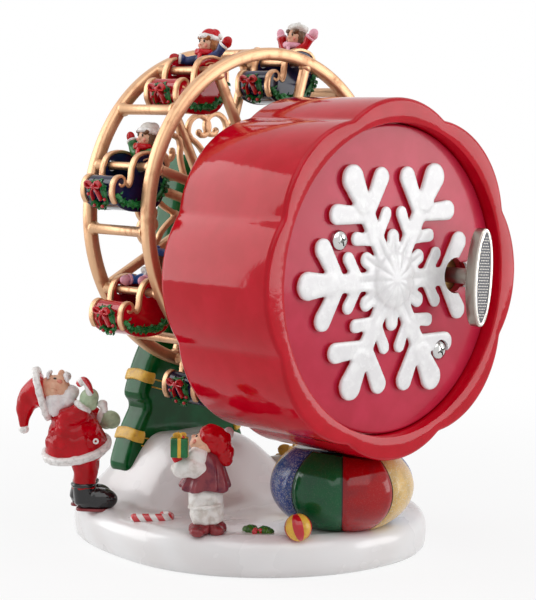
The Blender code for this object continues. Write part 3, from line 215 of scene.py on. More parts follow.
def white_fur(name):
    """Moulded fur trim, painted white: low soft tufts with a little shade between them."""
    finish = Finish(name, (0.86, 0.84, 0.82), 0.36, coat_weight=0.2, coat_roughness=0.15)
    tufts = finish.cells(0.9)
    curls = finish.noise(0.8, 3.0)
    height = 0.6 * curls + 0.4 * (1.0 - tufts)
    pale, shade = (0.9, 0.88, 0.86), (0.7, 0.66, 0.64)
    finish.set("Base Color", finish.mix(height.step(0.3, 0.55), shade, pale))
    return finish.bump(height, 0.16)


def antique_gold():
    """Gold paint over brown: bright on the face, with brown left in fine streaks."""
    finish = Finish("antique_gold", (0.62, 0.38, 0.2), 0.4, 0.8)
    cloud = finish.noise(0.16, 4.0, 0.6)
    streak = finish.noise(1.0, 4.0, 0.65, finish.place((0.25, 1.0, 0.25)))
    wear = (0.6 * cloud + 0.4 * streak).step(0.5, 0.72)
    finish.set("Base Color", finish.mix(wear, (0.66, 0.4, 0.23), (0.4, 0.17, 0.08)))
    finish.set("Roughness", 0.42 + 0.2 * wear)
    finish.set("Metallic", 0.85 - 0.25 * wear)
    return finish.bump(streak, 0.05)


def glazed_snow():
    """Poured snow: milky glaze with soft brushed swirls and a faint warm shade in the hollows."""
    finish = Finish("snow", (0.82, 0.82, 0.83), 0.22, coat_weight=0.4, coat_roughness=0.1)
    bend = finish.place((0.035, 0.06, 0.05))
    swirl = finish.noise(1.0, 3.0, 0.6, bend)
    long = finish.node(
        "ShaderNodeTexWave",
        {"wave_type": "BANDS", "bands_direction": "DIAGONAL"},
        output=1,
        **{"Vector": bend, "Scale": 0.55, "Distortion": 5.5, "Detail": 2.0, "Detail Scale": 0.9},
    )
    shade = (0.55 * swirl + 0.45 * long).step(0.25, 0.85)
    finish.set("Base Color", finish.mix(shade, (0.81, 0.795, 0.795), (0.86, 0.86, 0.865)))
    finish.set("Roughness", 0.22 + 0.1 * swirl)
    return finish.bump(0.6 * long + 0.5 * swirl, 0.28)


def brushed_nickel():
    """Worn nickel with brush marks along Z."""
    finish = Finish("key_nickel", (0.42, 0.38, 0.33), 0.3, 1.0)
    grain = finish.noise(1.0, 5.0, 0.7, finish.place((9.0, 9.0, 0.35)))
    finish.set("Base Color", finish.mix(grain, (0.3, 0.27, 0.23), (0.52, 0.48, 0.42)))
    finish.set("Roughness", 0.2 + 0.25 * grain)
    return finish.bump(grain, 0.012)


def polished(name, colour, roughness=0.08):
    """Polished metal with a faint haze."""
    finish = Finish(name, colour, roughness, 1.0)
    haze = finish.noise(1.6, 4.0)
    finish.set("Roughness", roughness + 0.12 * haze.step(0.5, 0.75))
    return finish.bump(haze, 0.012)


def turned_metal(name, colour, roughness=0.28):
    """Machined brass or steel with fine tool marks round the Y axis."""
    finish = Finish(name, colour, roughness, 1.0)
    marks = finish.noise(1.0, 3.0, 0.6, finish.place((0.4, 9.0, 0.4)))
    dull = tuple(0.7 * c for c in colour)
    finish.set("Base Color", finish.mix(marks, dull, colour))
    finish.set("Roughness", roughness + 0.2 * marks)
    return finish.bump(marks, 0.01)


def glitter_gores():
    """Ball paint: blue, green, red and gold gores in turn, with fine glitter under the glaze."""
    coat = {"coat_weight": 0.1, "coat_roughness": 0.08, "specular_ior_level": 0.3}
    finish = Finish("ball_paint", (0.04, 0.08, 0.3), 0.22, **coat)
    x, y = finish.parts(finish.place(at=(0.0, BALL_Y, 0.0)))[:2]
    turn = (y.math("ARCTAN2", x) / (2 * math.pi) + 1.0).math("FRACT")
    eighths = (turn * 8.0).math("FLOOR").math("MODULO", 4.0)
    colours = ((0.0, 0.09, 0.025), (0.36, 0.0, 0.002), (0.72, 0.47, 0.16), (0.03, 0.07, 0.26))
    paint = finish.mix(eighths.above(0.5), colours[0], colours[1])
    paint = finish.mix(eighths.above(1.5), paint, colours[2])
    paint = finish.mix(eighths.above(2.5), paint, colours[3])
    grains = finish.cells(4.5, output=1)
    spark = finish.parts(grains)[0]
    cloud = finish.noise(0.25, 4.0, 0.6)
    dusted = 0.02 + 0.6 * eighths.above(1.5)
    lit = finish.mix(spark.step(0.7, 1.0) * dusted, paint, (0.75, 0.72, 0.6))
    shaded = finish.mix(0.25 * cloud.step(0.4, 0.75), lit, (0.02, 0.02, 0.03))
    beside = ((turn * 8.0).math("FRACT") - 0.5).math("ABSOLUTE")
    finish.set("Base Color", finish.mix(beside.step(0.484, 0.494), shaded, (0.02, 0.012, 0.01)))
    finish.set("Roughness", 0.1 + 0.3 * cloud * dusted)
    return finish.bump(spark * 0.25 * dusted + cloud, 0.06)


def snowflake_paint():
    """White on the raised faces, with the cover's red left on the walls of the relief."""
    finish = Finish("snowflake_white", (0.84, 0.84, 0.85), 0.24, coat_weight=0.2)
    y = finish.parts(finish.place())[1]
    hand = finish.noise(0.5, 3.0)
    face = (y + 0.35 * hand).step(COVER_FACE + 0.95, COVER_FACE + 1.2)
    pale = finish.mix(finish.noise(0.3, 4.0).step(0.4, 0.7), (0.8, 0.79, 0.8), (0.88, 0.88, 0.88))
    finish.set("Base Color", finish.mix(face, (0.42, 0.006, 0.016), pale))
    finish.set("Roughness", 0.2 + 0.12 * hand)
    return finish.bump(hand, 0.06)


def candy_stripes():
    """White candy with red bands across its length."""
    finish = Finish("candy_stripes", (0.86, 0.84, 0.82), 0.2, coat_weight=0.5)
    x, y, z = finish.parts(finish.place())
    run = ((x * -0.729 + y * 0.684 + 0.7 * z) / 3.6).math("FRACT")
    band = run.step(0.4, 0.46) * (1.0 - run.step(0.92, 0.98))
    finish.set("Base Color", finish.mix(band, (0.86, 0.84, 0.82), (0.62, 0.02, 0.03)))
    return finish.bump(finish.noise(0.9), 0.05)


def striped_paper():
    """Green and cream stripes round the small box."""
    finish = Finish("gift_stripes", (0.02, 0.2, 0.05), 0.24, specular_ior_level=0.28)
    x, y = finish.parts(finish.place())[:2]
    run = ((x * 0.8 + y * 0.6) / 2.1).math("FRACT")
    finish.set("Base Color", finish.mix(run.step(0.52, 0.6), (0.02, 0.18, 0.05), (0.8, 0.76, 0.6)))
    return finish.bump(finish.noise(0.9), 0.05)


SNOW = glazed_snow()
DRUM_RED = lacquer("drum_red", (0.49, 0.0, 0.01), (0.55, 0.002, 0.016), 0.06, 0.0, 0.04)
COVER_RED = lacquer("cover_red", (0.5, 0.012, 0.045), (0.56, 0.018, 0.06), 0.3, 0.2, 0.03)
FLAKE_WHITE = snowflake_paint()
TREE_GREEN = lacquer("tree_green", (0.0, 0.07, 0.01), (0.0, 0.12, 0.03), 0.1, 0.0, 0.08)
NAVY = lacquer("sleigh_navy", (0.006, 0.007, 0.03), (0.012, 0.016, 0.07), 0.14, 0.1, 0.05)
SLEIGH_RED = lacquer("sleigh_red", (0.4, 0.0, 0.008), (0.5, 0.004, 0.014), 0.12, 0.15, 0.05)
GOLD = antique_gold()
RIBBON_GOLD = resin_paint("ribbon_gold", (0.78, 0.47, 0.06), (0.5, 0.26, 0.03), 0.26)
NICKEL = brushed_nickel()
RIM_NICKEL = polished("key_rim", (0.7, 0.67, 0.62), 0.16)
CHROME = polished("screw_chrome", (0.6, 0.6, 0.59), 0.1)
KEY_PANEL = turned_metal("key_panel", (0.12, 0.12, 0.13), 0.4)
# The movement's brass is darker than bright brass: partly its own dull colour, partly painted shade for the
# dark inside of the closed drum.
BRASS_WITH_PAINTED_SHADE = turned_metal("movement_brass", (0.5, 0.33, 0.12), 0.36)
STEEL = turned_metal("movement_steel", (0.5, 0.51, 0.53), 0.32)
BALL = glitter_gores()
CANDY = candy_stripes()
FUR = white_fur("white_fur")
COAT_RED = lacquer("coat_red", (0.42, 0.0, 0.004), (0.6, 0.0, 0.01), 0.1, 0.0, 0.12)
HAT_RED = lacquer("hat_red", (0.45, 0.0, 0.004), (0.62, 0.002, 0.012), 0.1, 0.0, 0.12)
MITTEN_PALE = resin_paint("mitten_pale", (0.66, 0.5, 0.5), (0.5, 0.34, 0.36), 0.4)
MITTEN_GREEN = resin_paint("mitten_green", (0.5, 0.62, 0.42), (0.34, 0.46, 0.3), 0.4)
BOOT_BLACK = lacquer("boot_black", (0.006, 0.006, 0.007), (0.02, 0.018, 0.02), 0.14, 0.6, 0.1)
SKIN = resin_paint("skin", (0.82, 0.5, 0.34), (0.72, 0.34, 0.22), 0.38, 0.02)
CHEEK = resin_paint("cheek", (0.8, 0.3, 0.22), (0.72, 0.24, 0.17), 0.4, 0.02)
BEARD = resin_paint("beard_white", (0.88, 0.86, 0.86), (0.74, 0.71, 0.73), 0.36, 0.14, 0.9)
CLOTH_WHITE = resin_paint("cloth_white", (0.85, 0.83, 0.8), (0.62, 0.57, 0.52), 0.42, 0.12)
VEST_PLUM = resin_paint("vest_plum", (0.25, 0.04, 0.05), (0.1, 0.008, 0.03), 0.2, 0.05, 0.45)
SHOE_BROWN = resin_paint("shoe_brown", (0.27, 0.035, 0.04), (0.12, 0.015, 0.018), 0.24)
COAT_NAVY = resin_paint("coat_navy", (0.03, 0.05, 0.17), (0.012, 0.016, 0.06), 0.26)
COAT_GREEN = resin_paint("coat_green", (0.05, 0.24, 0.07), (0.015, 0.11, 0.03), 0.28)
COAT_BLUE = resin_paint("coat_blue", (0.05, 0.16, 0.5), (0.02, 0.07, 0.26), 0.28)
PINK = resin_paint("scarf_pink", (0.84, 0.42, 0.52), (0.72, 0.28, 0.38), 0.4)
HAIR_BROWN = resin_paint("hair_brown", (0.16, 0.07, 0.03), (0.07, 0.028, 0.012), 0.34, 0.2, 1.4)
HAIR_ORANGE = resin_paint("hair_orange", (0.42, 0.14, 0.035), (0.22, 0.06, 0.015), 0.34, 0.2, 1.4)
EYE = lacquer("eye", (0.006, 0.004, 0.004), (0.02, 0.014, 0.012), 0.1, 0.6, 0.02)
GARLAND = resin_paint("garland_green", (0.02, 0.2, 0.045), (0.004, 0.07, 0.016), 0.26, 0.08)
HOLLY = resin_paint("holly_green", (0.06, 0.17, 0.01), (0.01, 0.05, 0.004), 0.2, 0.1, 2.0)
BERRY = lacquer("berry_red", (0.5, 0.006, 0.014), (0.62, 0.02, 0.03), 0.12, 0.6, 0.04)
GIFT_STRIPES = striped_paper()
GIFT_GREEN = resin_paint("gift_green", (0.01, 0.17, 0.05), (0.004, 0.08, 0.02), 0.24)


# Shapes: each is (points, faces) in millimetres


def loft(rings, closed=False):
    """Joins rings of equally many points; a ring of one point is a tip."""
    points, starts, faces = [], [], []
    for ring in rings:
        starts.append(len(points))
        points.extend(ring)
    pairs = list(zip(range(len(rings)), range(1, len(rings))))
    if closed:
        pairs.append((len(rings) - 1, 0))
    for near, far in pairs:
        a, b = starts[near], starts[far]
        single_near, single_far = len(rings[near]) == 1, len(rings[far]) == 1
        sides = max(len(rings[near]), len(rings[far]))
        for i in range(sides):
            j = (i + 1) % sides
            if single_near:
                faces.append((a, b + j, b + i))
            elif single_far:
                faces.append((a + i, a + j, b))
            else:
                faces.append((a + i, a + j, b + j, b + i))
    if not closed:
        for index in (0, -1):
            if len(rings[index]) > 2:
                start = starts[index]
                faces.append(tuple(range(start, start + len(rings[index]))))
    return points, faces


def placed(form, matrix):
    """The form moved and turned by the matrix."""
    points, faces = form
    return [tuple(matrix @ Vector(p)) for p in points], faces


def at(x=0, y=0, z=0):
    return Matrix.Translation((x, y, z))


def turned(degrees, axis):
    return Matrix.Rotation(math.radians(degrees), 4, axis)


def lathe(profile, sides=40, axis="Z"):
    """A turned solid whose profile runs as (radius, height) along the axis."""
    rings = []
    for radius, height in profile:
        if radius == 0:
            rings.append([(0, 0, height)])
            continue
        angles = [2 * math.pi * i / sides for i in range(sides)]
        rings.append([(radius * math.cos(a), radius * math.sin(a), height) for a in angles])
    form = loft(rings)
    return placed(form, turned(-90, "X")) if axis == "Y" else form


def bar(radius, low, high, sides=32, x=0, y=0, z=0):
    """A plain round bar along Y."""
    return placed(lathe(((radius, low), (radius, high)), sides, "Y"), at(x, y, z))


def blob(centre, radii, turn=0, sides=22, rows=14):
    """An ellipsoid turned about Y."""
    profile = []
    for i in range(rows + 1):
        a = math.pi * i / rows
        profile.append((math.sin(a) if 0 < i < rows else 0, -math.cos(a)))
    scale = Matrix.Diagonal((*radii, 1))
    return placed(lathe(profile, sides), at(*centre) @ turned(turn, "Y") @ scale)


def curve(points, steps, closed=False):
    """A smooth line through the points."""
    points = [Vector(p) for p in points]
    count = len(points)
    line = []
    for i in range(count if closed else count - 1):
        near, far = points[i], points[(i + 1) % count]
        before = points[(i - 1) % count] if closed or i else 2 * near - far
        after = points[(i + 2) % count] if closed or i < count - 2 else 2 * far - near
        for step in range(steps):
            t = step / steps
            line.append(
                0.5 * (2 * near + (far - before) * t
                       + (2 * before - 5 * near + 4 * far - after) * t**2
                       + (3 * near - before - 3 * far + after) * t**3)
            )
    if not closed:
        line.append(points[-1])
    return line


def tube(path, radius, sides=12, closed=False, flat=None, up=(0, 0, 1)):
    """A round bar along a path; flat gives a section of (across, up) half sizes instead."""
    path = [Vector(p) for p in path]
    count = len(path)
    radii = list(radius) if hasattr(radius, "__len__") else [radius] * count
    rings = []
    side = None
    for i, point in enumerate(path):
        before = path[(i - 1) % count] if closed or i else point
        after = path[(i + 1) % count] if closed or i < count - 1 else point
        along = (after - before).normalized()
        if side is None:
            side = along.cross(Vector(up))
            if side.length < 1e-3:
                side = along.cross(Vector((1, 0, 0)))
        side = (side - along * side.dot(along)).normalized()
        lift = side.cross(along)
        wide, high = flat or (1, 1)
        ring = []
        for k in range(sides):
            a = 2 * math.pi * (k + 0.5) / sides
            u, v = math.cos(a), math.sin(a)
            if flat:
                power = 0.55
                u = math.copysign(abs(u) ** power, u)
                v = math.copysign(abs(v) ** power, v)
            ring.append(point + side * (u * wide * radii[i]) + lift * (v * high * radii[i]))
        rings.append(ring)
    if not closed:
        ends = []
        for index, inner in ((0, 1), (-1, -2)):
            centre = path[index]
            out = (centre - path[inner]).normalized() * min(radii[index], 1.2) * min(flat or (1, 1))
            ends.append([centre + (p - centre) * 0.72 + out * 0.55 for p in rings[index]])
            ends.append([centre + out * 0.8])
        rings = [ends[1], ends[0], *rings, ends[2], ends[3]]
    return loft([[tuple(p) for p in ring] for ring in rings], closed)


def inset(outline, distance):
    """A closed outline of (u, v) points drawn inwards."""
    count = len(outline)
    area = sum(outline[i][0] * outline[(i + 1) % count][1]
               - outline[(i + 1) % count][0] * outline[i][1] for i in range(count))
    sign = 1 if area > 0 else -1
    drawn = []
    for i in range(count):
        before, after = Vector(outline[i - 1]), Vector(outline[(i + 1) % count])
        along = (after - before).normalized()
        drawn.append((outline[i][0] - sign * along.y * distance,
                      outline[i][1] + sign * along.x * distance))
    return drawn


def slab(outline, low, high, rounding=0, axis="Y", steps=3):
    """A plate of an outline with rounded edges, between two values of the axis."""
    levels = [(low, 0)]
    if rounding:
        quarter = [0.5 * math.pi * i / steps for i in range(steps + 1)]
        levels = [
            (low + rounding * (1 - math.cos(a)), rounding * (1 - math.sin(a))) for a in quarter
        ]
    upper = [(low + high - level, depth) for level, depth in reversed(levels)]
    rings = []
    for level, depth in levels + upper:
        drawn = inset(outline, depth) if depth else outline
        rings.append([(u, level, v) if axis == "Y" else (u, v, level) for u, v in drawn])
    return loft(rings)


def flat_curve(points, steps):
    """A closed smooth outline through (u, v) points."""
    return [(p.x, p.y) for p in curve([(x, y, 0) for x, y in points], steps, closed=True)]


def ring_path(radius, count, centre=(0, 0, 0), axis="Z"):
    """Points round a circle about the axis."""
    path = []
    for i in range(count):
        a = 2 * math.pi * i / count
        u, v = radius * math.cos(a), radius * math.sin(a)
        offset = {"Z": (u, v, 0), "Y": (u, 0, v), "X": (0, u, v)}[axis]
        path.append(Vector(centre) + Vector(offset))
    return path


def mesh_of(form):
    """A mesh whose faces all look outwards."""
    points, faces = form
    made = bmesh.new()
    corners = [made.verts.new(p) for p in points]
    for face in faces:
        made.faces.new([corners[i] for i in face])
    bmesh.ops.recalc_face_normals(made, faces=made.faces)
    mesh = bpy.data.meshes.new("shape")
    made.to_mesh(mesh)
    made.free()
    return mesh


def form_of(mesh):
    """The points and faces of a mesh."""
    return [tuple(v.co) for v in mesh.vertices], [tuple(p.vertices) for p in mesh.polygons]


def worked(form, *steps):
    """The form after modifiers, each given as (type, settings)."""
    made = bpy.data.objects.new("work", mesh_of(form))
    bpy.context.scene.collection.objects.link(made)
    for kind, settings in steps:
        step = made.modifiers.new("step", kind)
        for key, value in settings.items():
            setattr(step, key, value)
    evaluated = made.evaluated_get(bpy.context.evaluated_depsgraph_get())
    mesh = bpy.data.meshes.new_from_object(evaluated)
    result = form_of(mesh)
    made.modifiers.clear()
    bpy.data.objects.remove(made)
    bpy.data.meshes.remove(mesh)
    return result


def together(*forms):
    """Several forms as one list of points and faces."""
    points, faces = [], []
    for more_points, more_faces in forms:
        start = len(points)
        points += list(more_points)
        faces += [tuple(i + start for i in face) for face in more_faces]
    return points, faces


def moulded(forms, voxel, relax=6, factor=0.5):
    """Forms that overlap, melted into one skin with soft joins, as in a casting."""
    return worked(
        together(*forms),
        ("REMESH", {"mode": "VOXEL", "voxel_size": voxel}),
        ("SMOOTH", {"factor": factor, "iterations": relax}),
    )


def cut(form, *tools):
    """The form with the tools cut out of it."""
    holders = []
    steps = []
    for tool in tools:
        holder = bpy.data.objects.new("tool", mesh_of(tool))
        bpy.context.scene.collection.objects.link(holder)
        holders.append(holder)
        steps.append(("BOOLEAN", {"operation": "DIFFERENCE", "solver": "EXACT", "object": holder}))
    result = worked(form, *steps)
    for holder in holders:
        bpy.data.objects.remove(holder)
    return result


def crinkled(form, depth, scale):
    """The skin pushed in and out by soft noise, for sculpted fur and folds."""
    mesh = mesh_of(form)
    moved = []
    for vertex in mesh.vertices:
        push = noise.noise(vertex.co * scale)
        moved.append(tuple(vertex.co + vertex.normal * push * depth))
    bpy.data.meshes.remove(mesh)
    return moved, form[1]


def roll(path, radius, sides, depth, scale, flat=None):
    """A closed, lumpy roll of fur or cloth."""
    return crinkled(tube(path, radius, sides, closed=True, flat=flat), depth, scale)


def facing(point, along):
    """Carries a form from the origin to the point, with its Z turned along."""
    return Matrix.Translation(point) @ along.to_track_quat("Z", "Y").to_matrix().to_4x4()


def features(piece, where, *rows):
    """Small blobs in pairs, on both sides of a face: (finish, centre, radii, turn, sides, rows)."""
    for side in (-1, 1):
        for finish, (x, y, z), *shape in rows:
            piece.add(finish, placed(blob((x, side * y, z), *shape), where))


class Piece:
    """One visible object made of forms that each have their own finish."""

    def __init__(self, name):
        self.name = name
        self.forms = []

    def add(self, finish, *forms):
        for form in forms:
            self.forms.append((form, finish.material))
        return self

    def done(self, body, stands_for, slot, where=None, sharp=40):
        """Joins the forms, puts the mesh in its place and hides the nodes it stands for."""
        mesh = bpy.data.meshes.new(self.name)
        looks, points, faces, marks = [], [], [], []
        move = where or Matrix.Identity(4)
        for form, look in self.forms:
            if look not in looks:
                looks.append(look)
            fixed = mesh_of(form)
            start = len(points)
            points += [tuple(MM * (move @ v.co)) for v in fixed.vertices]
            for polygon in fixed.polygons:
                faces.append(tuple(i + start for i in polygon.vertices))
                marks.append(looks.index(look))
            bpy.data.meshes.remove(fixed)
        mesh.from_pydata(points, [], faces)
        for look in looks:
            mesh.materials.append(look)
        mesh.polygons.foreach_set("material_index", marks)
        mesh.shade_smooth()
        mesh.set_sharp_from_angle(angle=math.radians(sharp))
        made = bpy.data.objects.new(self.name, mesh)
        bpy.context.scene.collection.objects.link(made)
        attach(made, body)
        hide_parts(*stands_for)


# What repeats: trees of Geometry Nodes


class Pattern:
    """A tree of Geometry Nodes with named sizes, run once and turned into a plain form."""

    def __init__(self, name):
        self.group = bpy.data.node_groups.new(name, "GeometryNodeTree")
        face = self.group.interface
        face.new_socket("Geometry", in_out="INPUT", socket_type="NodeSocketGeometry")
        face.new_socket("Geometry", in_out="OUTPUT", socket_type="NodeSocketGeometry")
        self.start = self.group.nodes.new("NodeGroupInput")
        self.end = self.group.nodes.new("NodeGroupOutput")
        self.sizes = {}

    def size(self, name, value, kind="NodeSocketFloat"):
        socket = self.group.interface.new_socket(name, in_out="INPUT", socket_type=kind)
        self.sizes[socket.identifier] = value
        return self.start.outputs[name]

    def node(self, kind, settings=None, **links):
        made = self.group.nodes.new(kind)
        for key, value in (settings or {}).items():
            setattr(made, key, value)
        for key, value in links.items():
            socket = made.inputs[int(key[1:])] if key[0] == "_" else made.inputs[key]
            if isinstance(value, bpy.types.NodeSocket):
                self.group.links.new(value, socket)
            elif isinstance(value, bpy.types.Node):
                self.group.links.new(value.outputs[0], socket)
            else:
                socket.default_value = value
        return made

    def copies(self, points, shape, **links):
        """A copy of the shape object on every point."""
        read = self.node("GeometryNodeObjectInfo", None, Object=shape)
        links.update(Points=points, Instance=read.outputs["Geometry"])
        return self.node("GeometryNodeInstanceOnPoints", None, **links)

    def run(self, geometry, finish, source):
        """Ends the tree, runs it on the source object and returns the form."""
        real = self.node("GeometryNodeRealizeInstances", None, Geometry=geometry)
        painted = self.node("GeometryNodeSetMaterial", None, Geometry=real, Material=finish.material)
        self.group.links.new(painted.outputs[0], self.end.inputs[0])
        step = source.modifiers.new("pattern", "NODES")
        step.node_group = self.group
        for identifier, value in self.sizes.items():
            step[identifier] = value
        evaluated = source.evaluated_get(bpy.context.evaluated_depsgraph_get())
        mesh = bpy.data.meshes.new_from_object(evaluated)
        form = form_of(mesh)
        source.modifiers.clear()
        bpy.data.objects.remove(source)
        bpy.data.meshes.remove(mesh)
        return form


def holder(name, form, edges=()):
    """A hidden carrier object for points, edges or a form that a pattern reads."""
    mesh = bpy.data.meshes.new(name)
    mesh.from_pydata(list(form[0]), list(edges), list(form[1]))
    made = bpy.data.objects.new(name, mesh)
    bpy.context.scene.collection.objects.link(made)
    return made


def line_of(name, path, closed=False):
    """A carrier whose edges follow a path."""
    count = len(path)
    edges = [(i, i + 1) for i in range(count - 1)] + ([(count - 1, 0)] if closed else [])
    return holder(name, ([tuple(p) for p in path], ()), edges)


def leaves_along(name, path, count, length, spread, finish, seed, closed=False):
    """Small pointed leaves that stand out round a path at uneven angles."""
    leaf = holder(
        "leaf",
        (
            [(0, 0, 0), (0.32, 0.35, 0.1), (0.32, -0.35, 0.1), (0.62, 0.3, 0.16),
             (0.62, -0.3, 0.16), (1, 0, 0.05), (0.5, 0, 0.26), (0.45, 0, -0.02)],
            [(0, 1, 6), (1, 3, 6), (3, 5, 6), (5, 4, 6), (4, 2, 6), (2, 0, 6),
             (1, 0, 7), (3, 1, 7), (5, 3, 7), (4, 5, 7), (2, 4, 7), (0, 2, 7)],
        ),
    )
    pattern = Pattern(name)
    size = pattern.size("Leaf Length", length)
    number = pattern.size("Leaves", count, "NodeSocketInt")
    uneven = pattern.size("Seed", seed, "NodeSocketInt")
    line = pattern.node("GeometryNodeMeshToCurve", None, Mesh=pattern.start.outputs[0])
    points = pattern.node("GeometryNodeResampleCurve", None, Curve=line, Count=number)

    def drawn(*reach):
        low = tuple(-v for v in reach)
        vectors = {"data_type": "FLOAT_VECTOR"}
        return pattern.node("FunctionNodeRandomValue", vectors, _0=low, _1=reach, Seed=uneven)

    shift, tilt = drawn(spread, spread, spread), drawn(3.1, 1.2, 3.1)
    moved = pattern.node("GeometryNodeSetPosition", None, Geometry=points, Offset=shift)
    scatter = pattern.copies(moved, leaf, Rotation=tilt, Scale=size)
    form = pattern.run(scatter, finish, line_of(name, path, closed))
    bpy.data.objects.remove(leaf)
    return form


def round_the_axle(name, form, count, first, finish):
    """Copies of a form, drawn along +X, turned about the axle like spokes."""
    spoke = holder("spoke", form)
    pattern = Pattern(name)
    number = pattern.size("Copies", count, "NodeSocketInt")
    start = pattern.size("First Angle", math.radians(first))
    points = pattern.node("GeometryNodePoints", None, Count=number)
    index = pattern.node("GeometryNodeInputIndex")
    share = pattern.node("ShaderNodeMath", {"operation": "DIVIDE"}, _0=index, _1=number)
    angle = pattern.node("ShaderNodeMath", {"operation": "MULTIPLY"}, _0=share, _1=-2 * math.pi)
    whole = pattern.node("ShaderNodeMath", {"operation": "SUBTRACT"}, _0=angle, _1=start)
    turn = pattern.node("ShaderNodeCombineXYZ", None, Y=whole)
    copies = pattern.copies(points, spoke, Rotation=turn)
    form = pattern.run(copies, finish, holder(name, ([(0, 0, 0)], ())))
    bpy.data.objects.remove(spoke)
    return form


def dots_on(name, places, radius, finish):
    """Rows of small domes at the given places, facing +Y."""
    dome = holder("dome", lathe(((1, -0.3), (0.92, 0.3), (0.6, 0.75), (0, 0.95)), 8, "Y"))
    pattern = Pattern(name)
    size = pattern.size("Dot Radius", radius)
    copies = pattern.copies(pattern.start.outputs[0], dome, Scale=size)
    form = pattern.run(copies, finish, holder(name, (places, ())))
    bpy.data.objects.remove(dome)
    return form


# The snow


def base_edge(angle):
    """How far the base reaches at an angle: a soft oblong, a little uneven."""
    power = 2.3
    x, y = math.cos(angle) / BASE_HALF_WIDTH, math.sin(angle) / BASE_HALF_LENGTH
    reach = (abs(x) ** power + abs(y) ** power) ** (-1 / power)
    return reach * (1 + 0.014 * math.sin(3 * angle + 0.6) + 0.01 * math.sin(5 * angle))


def snow_height(x, y):
    """The top of the snow: low swells, and the drift at the tree's foot."""
    across = abs(x - DRIFT_X) / (DRIFT_RIGHT if x > DRIFT_X else DRIFT_LEFT)
    along = abs(y - DRIFT_Y) / DRIFT_HALF_DEPTH
    ripple = 0.25 * math.sin(x / 7) * math.cos(y / 9)
    return SNOW_TOP + DRIFT_RISE * math.exp(-(across**4) - along**4) + ripple


def snow():
    """The poured snow: a soft rim, low furrows and the drift that the tree stands in."""
    sides = 150
    angles = [2 * math.pi * i / sides for i in range(sides)]

    def ring(share, height=None):
        points = []
        for a in angles:
            lump = 0.006 * noise.noise((3 * math.cos(a), 3 * math.sin(a), 5 * share))
            reach = base_edge(a) * (share + lump * min(1, (height or 9) / 3))
            x, y = reach * math.cos(a), reach * math.sin(a)
            z = height
            if height is None:
                along = (x * 0.55 + y * 0.83) / 9
                z = snow_height(x, y) + 0.3 * noise.noise((x / 16, y / 16, 0.3))
                z += 0.35 * math.sin(along * 2.4 + 2.2 * noise.noise((x / 20, y / 20, 4)))
            points.append((x, y, z))
        return points

    rim = [(0.955, 0), (0.975, 0.25), (0.99, 1), (0.998, 2.6), (1, 5), (0.997, 7)]
    rim += [(0.99, 8.4), (0.978, 9.4), (0.962, 10.1), (0.94, 10.45)]
    rings = [[(0, 0, 0)], ring(0.5, 0)]
    rings += [ring(share, height) for share, height in rim]
    rings += [ring(0.915 * (1 - i / 34) + 0.004) for i in range(34)]
    rings.append([(0, 0, snow_height(0, 0))])
    piece = Piece("poured_snow").add(SNOW, loft(rings))
    piece.done("root", ["snow_base"], "snow", sharp=80)


# The ball under the drum


def ornament_ball():
    """Eight gores with sunk seams, cut to a saddle for the drum and flat at the foot."""
    gores, steps, rows = 8, 14, 40
    sides = gores * steps
    rings = []
    for row in range(rows + 1):
        a = math.pi * row / rows
        if row in (0, rows):
            rings.append([(0, 0, -BALL_HALF_HEIGHT * math.cos(a))])
            continue
        ring = []
        for i in range(sides):
            turn = 2 * math.pi * i / sides
            gap = min(i % steps, steps - i % steps) / steps
            sink = 0.75 * math.exp(-((gap / 0.05) ** 2))
            radius = (BALL_RADIUS - sink) * math.sin(a)
            height = -(BALL_HALF_HEIGHT - 0.5 * sink) * math.cos(a)
            ring.append((radius * math.cos(turn), radius * math.sin(turn), height))
        rings.append(ring)
    seat = 4
    centre = DRUM_Z - DRUM_REACH - BALL_HALF_HEIGHT + seat
    body = placed(loft(rings), at(0, BALL_Y, centre))
    saddle = bar(DRUM_REACH + 0.3, -30, 30, 160, y=BALL_Y, z=DRUM_Z)
    foot = placed(lathe(((30, -20), (30, 9.75)), 24), at(0, BALL_Y, 0))
    piece = Piece("gored_ball").add(BALL, cut(body, saddle, foot))
    piece.done("root", ["support_ball"], "ball_paint", sharp=50)


# The drum and its cover


def lobed(drawn_in):
    """The drum's outline with its eight lobes, drawn in towards the axis."""
    count, rise = 320, 2.8
    points = []
    for i in range(count):
        a = 2 * math.pi * i / count
        swell = (abs(math.cos(4 * a)) ** 2 + 0.004) ** 0.375
        radius = DRUM_VALLEY + rise * min(swell, 1) - drawn_in
        points.append((radius * math.cos(a), radius * math.sin(a)))
    return points


def drum():
    """The hollow lacquered casting: lobed outside, with a round recess for the cover."""
    front_edge, back_edge = 2.6, 1.2
    ledge, room, front_wall = 52.4, 40, 19.7
    bends = [(1 - math.cos(0.5 * math.pi * i / 6), 1 - math.sin(0.5 * math.pi * i / 6)) for i in range(7)]
    outer = [(DRUM_FRONT + front_edge * u, front_edge * v) for u, v in bends]
    outer += [(DRUM_BACK - back_edge * u, back_edge * v) for u, v in reversed(bends)]
    rings = [[(x, y, z) for x, z in lobed(depth)] for y, depth in outer]
    count = len(rings[0])
    bore = WHEEL_Z - DRUM_Z
    for radius, y, rise in (
        (RECESS_RADIUS + 0.6, DRUM_BACK, 0), (RECESS_RADIUS + 0.2, DRUM_BACK - 0.15, 0),
        (RECESS_RADIUS, DRUM_BACK - 0.6, 0), (RECESS_RADIUS, ledge, 0), (room, ledge, 0),
        (room, front_wall, 0), (AXLE_BORE, front_wall, bore), (AXLE_BORE, DRUM_FRONT, bore),
    ):
        angles = [2 * math.pi * i / count for i in range(count)]
        rings.append([(radius * math.cos(a), y, radius * math.sin(a) + rise) for a in angles])
    piece = Piece("lacquered_drum").add(DRUM_RED, placed(loft(rings, closed=True), at(z=DRUM_Z)))
    piece.done("root", ["drum_housing"], "drum_red", sharp=35)


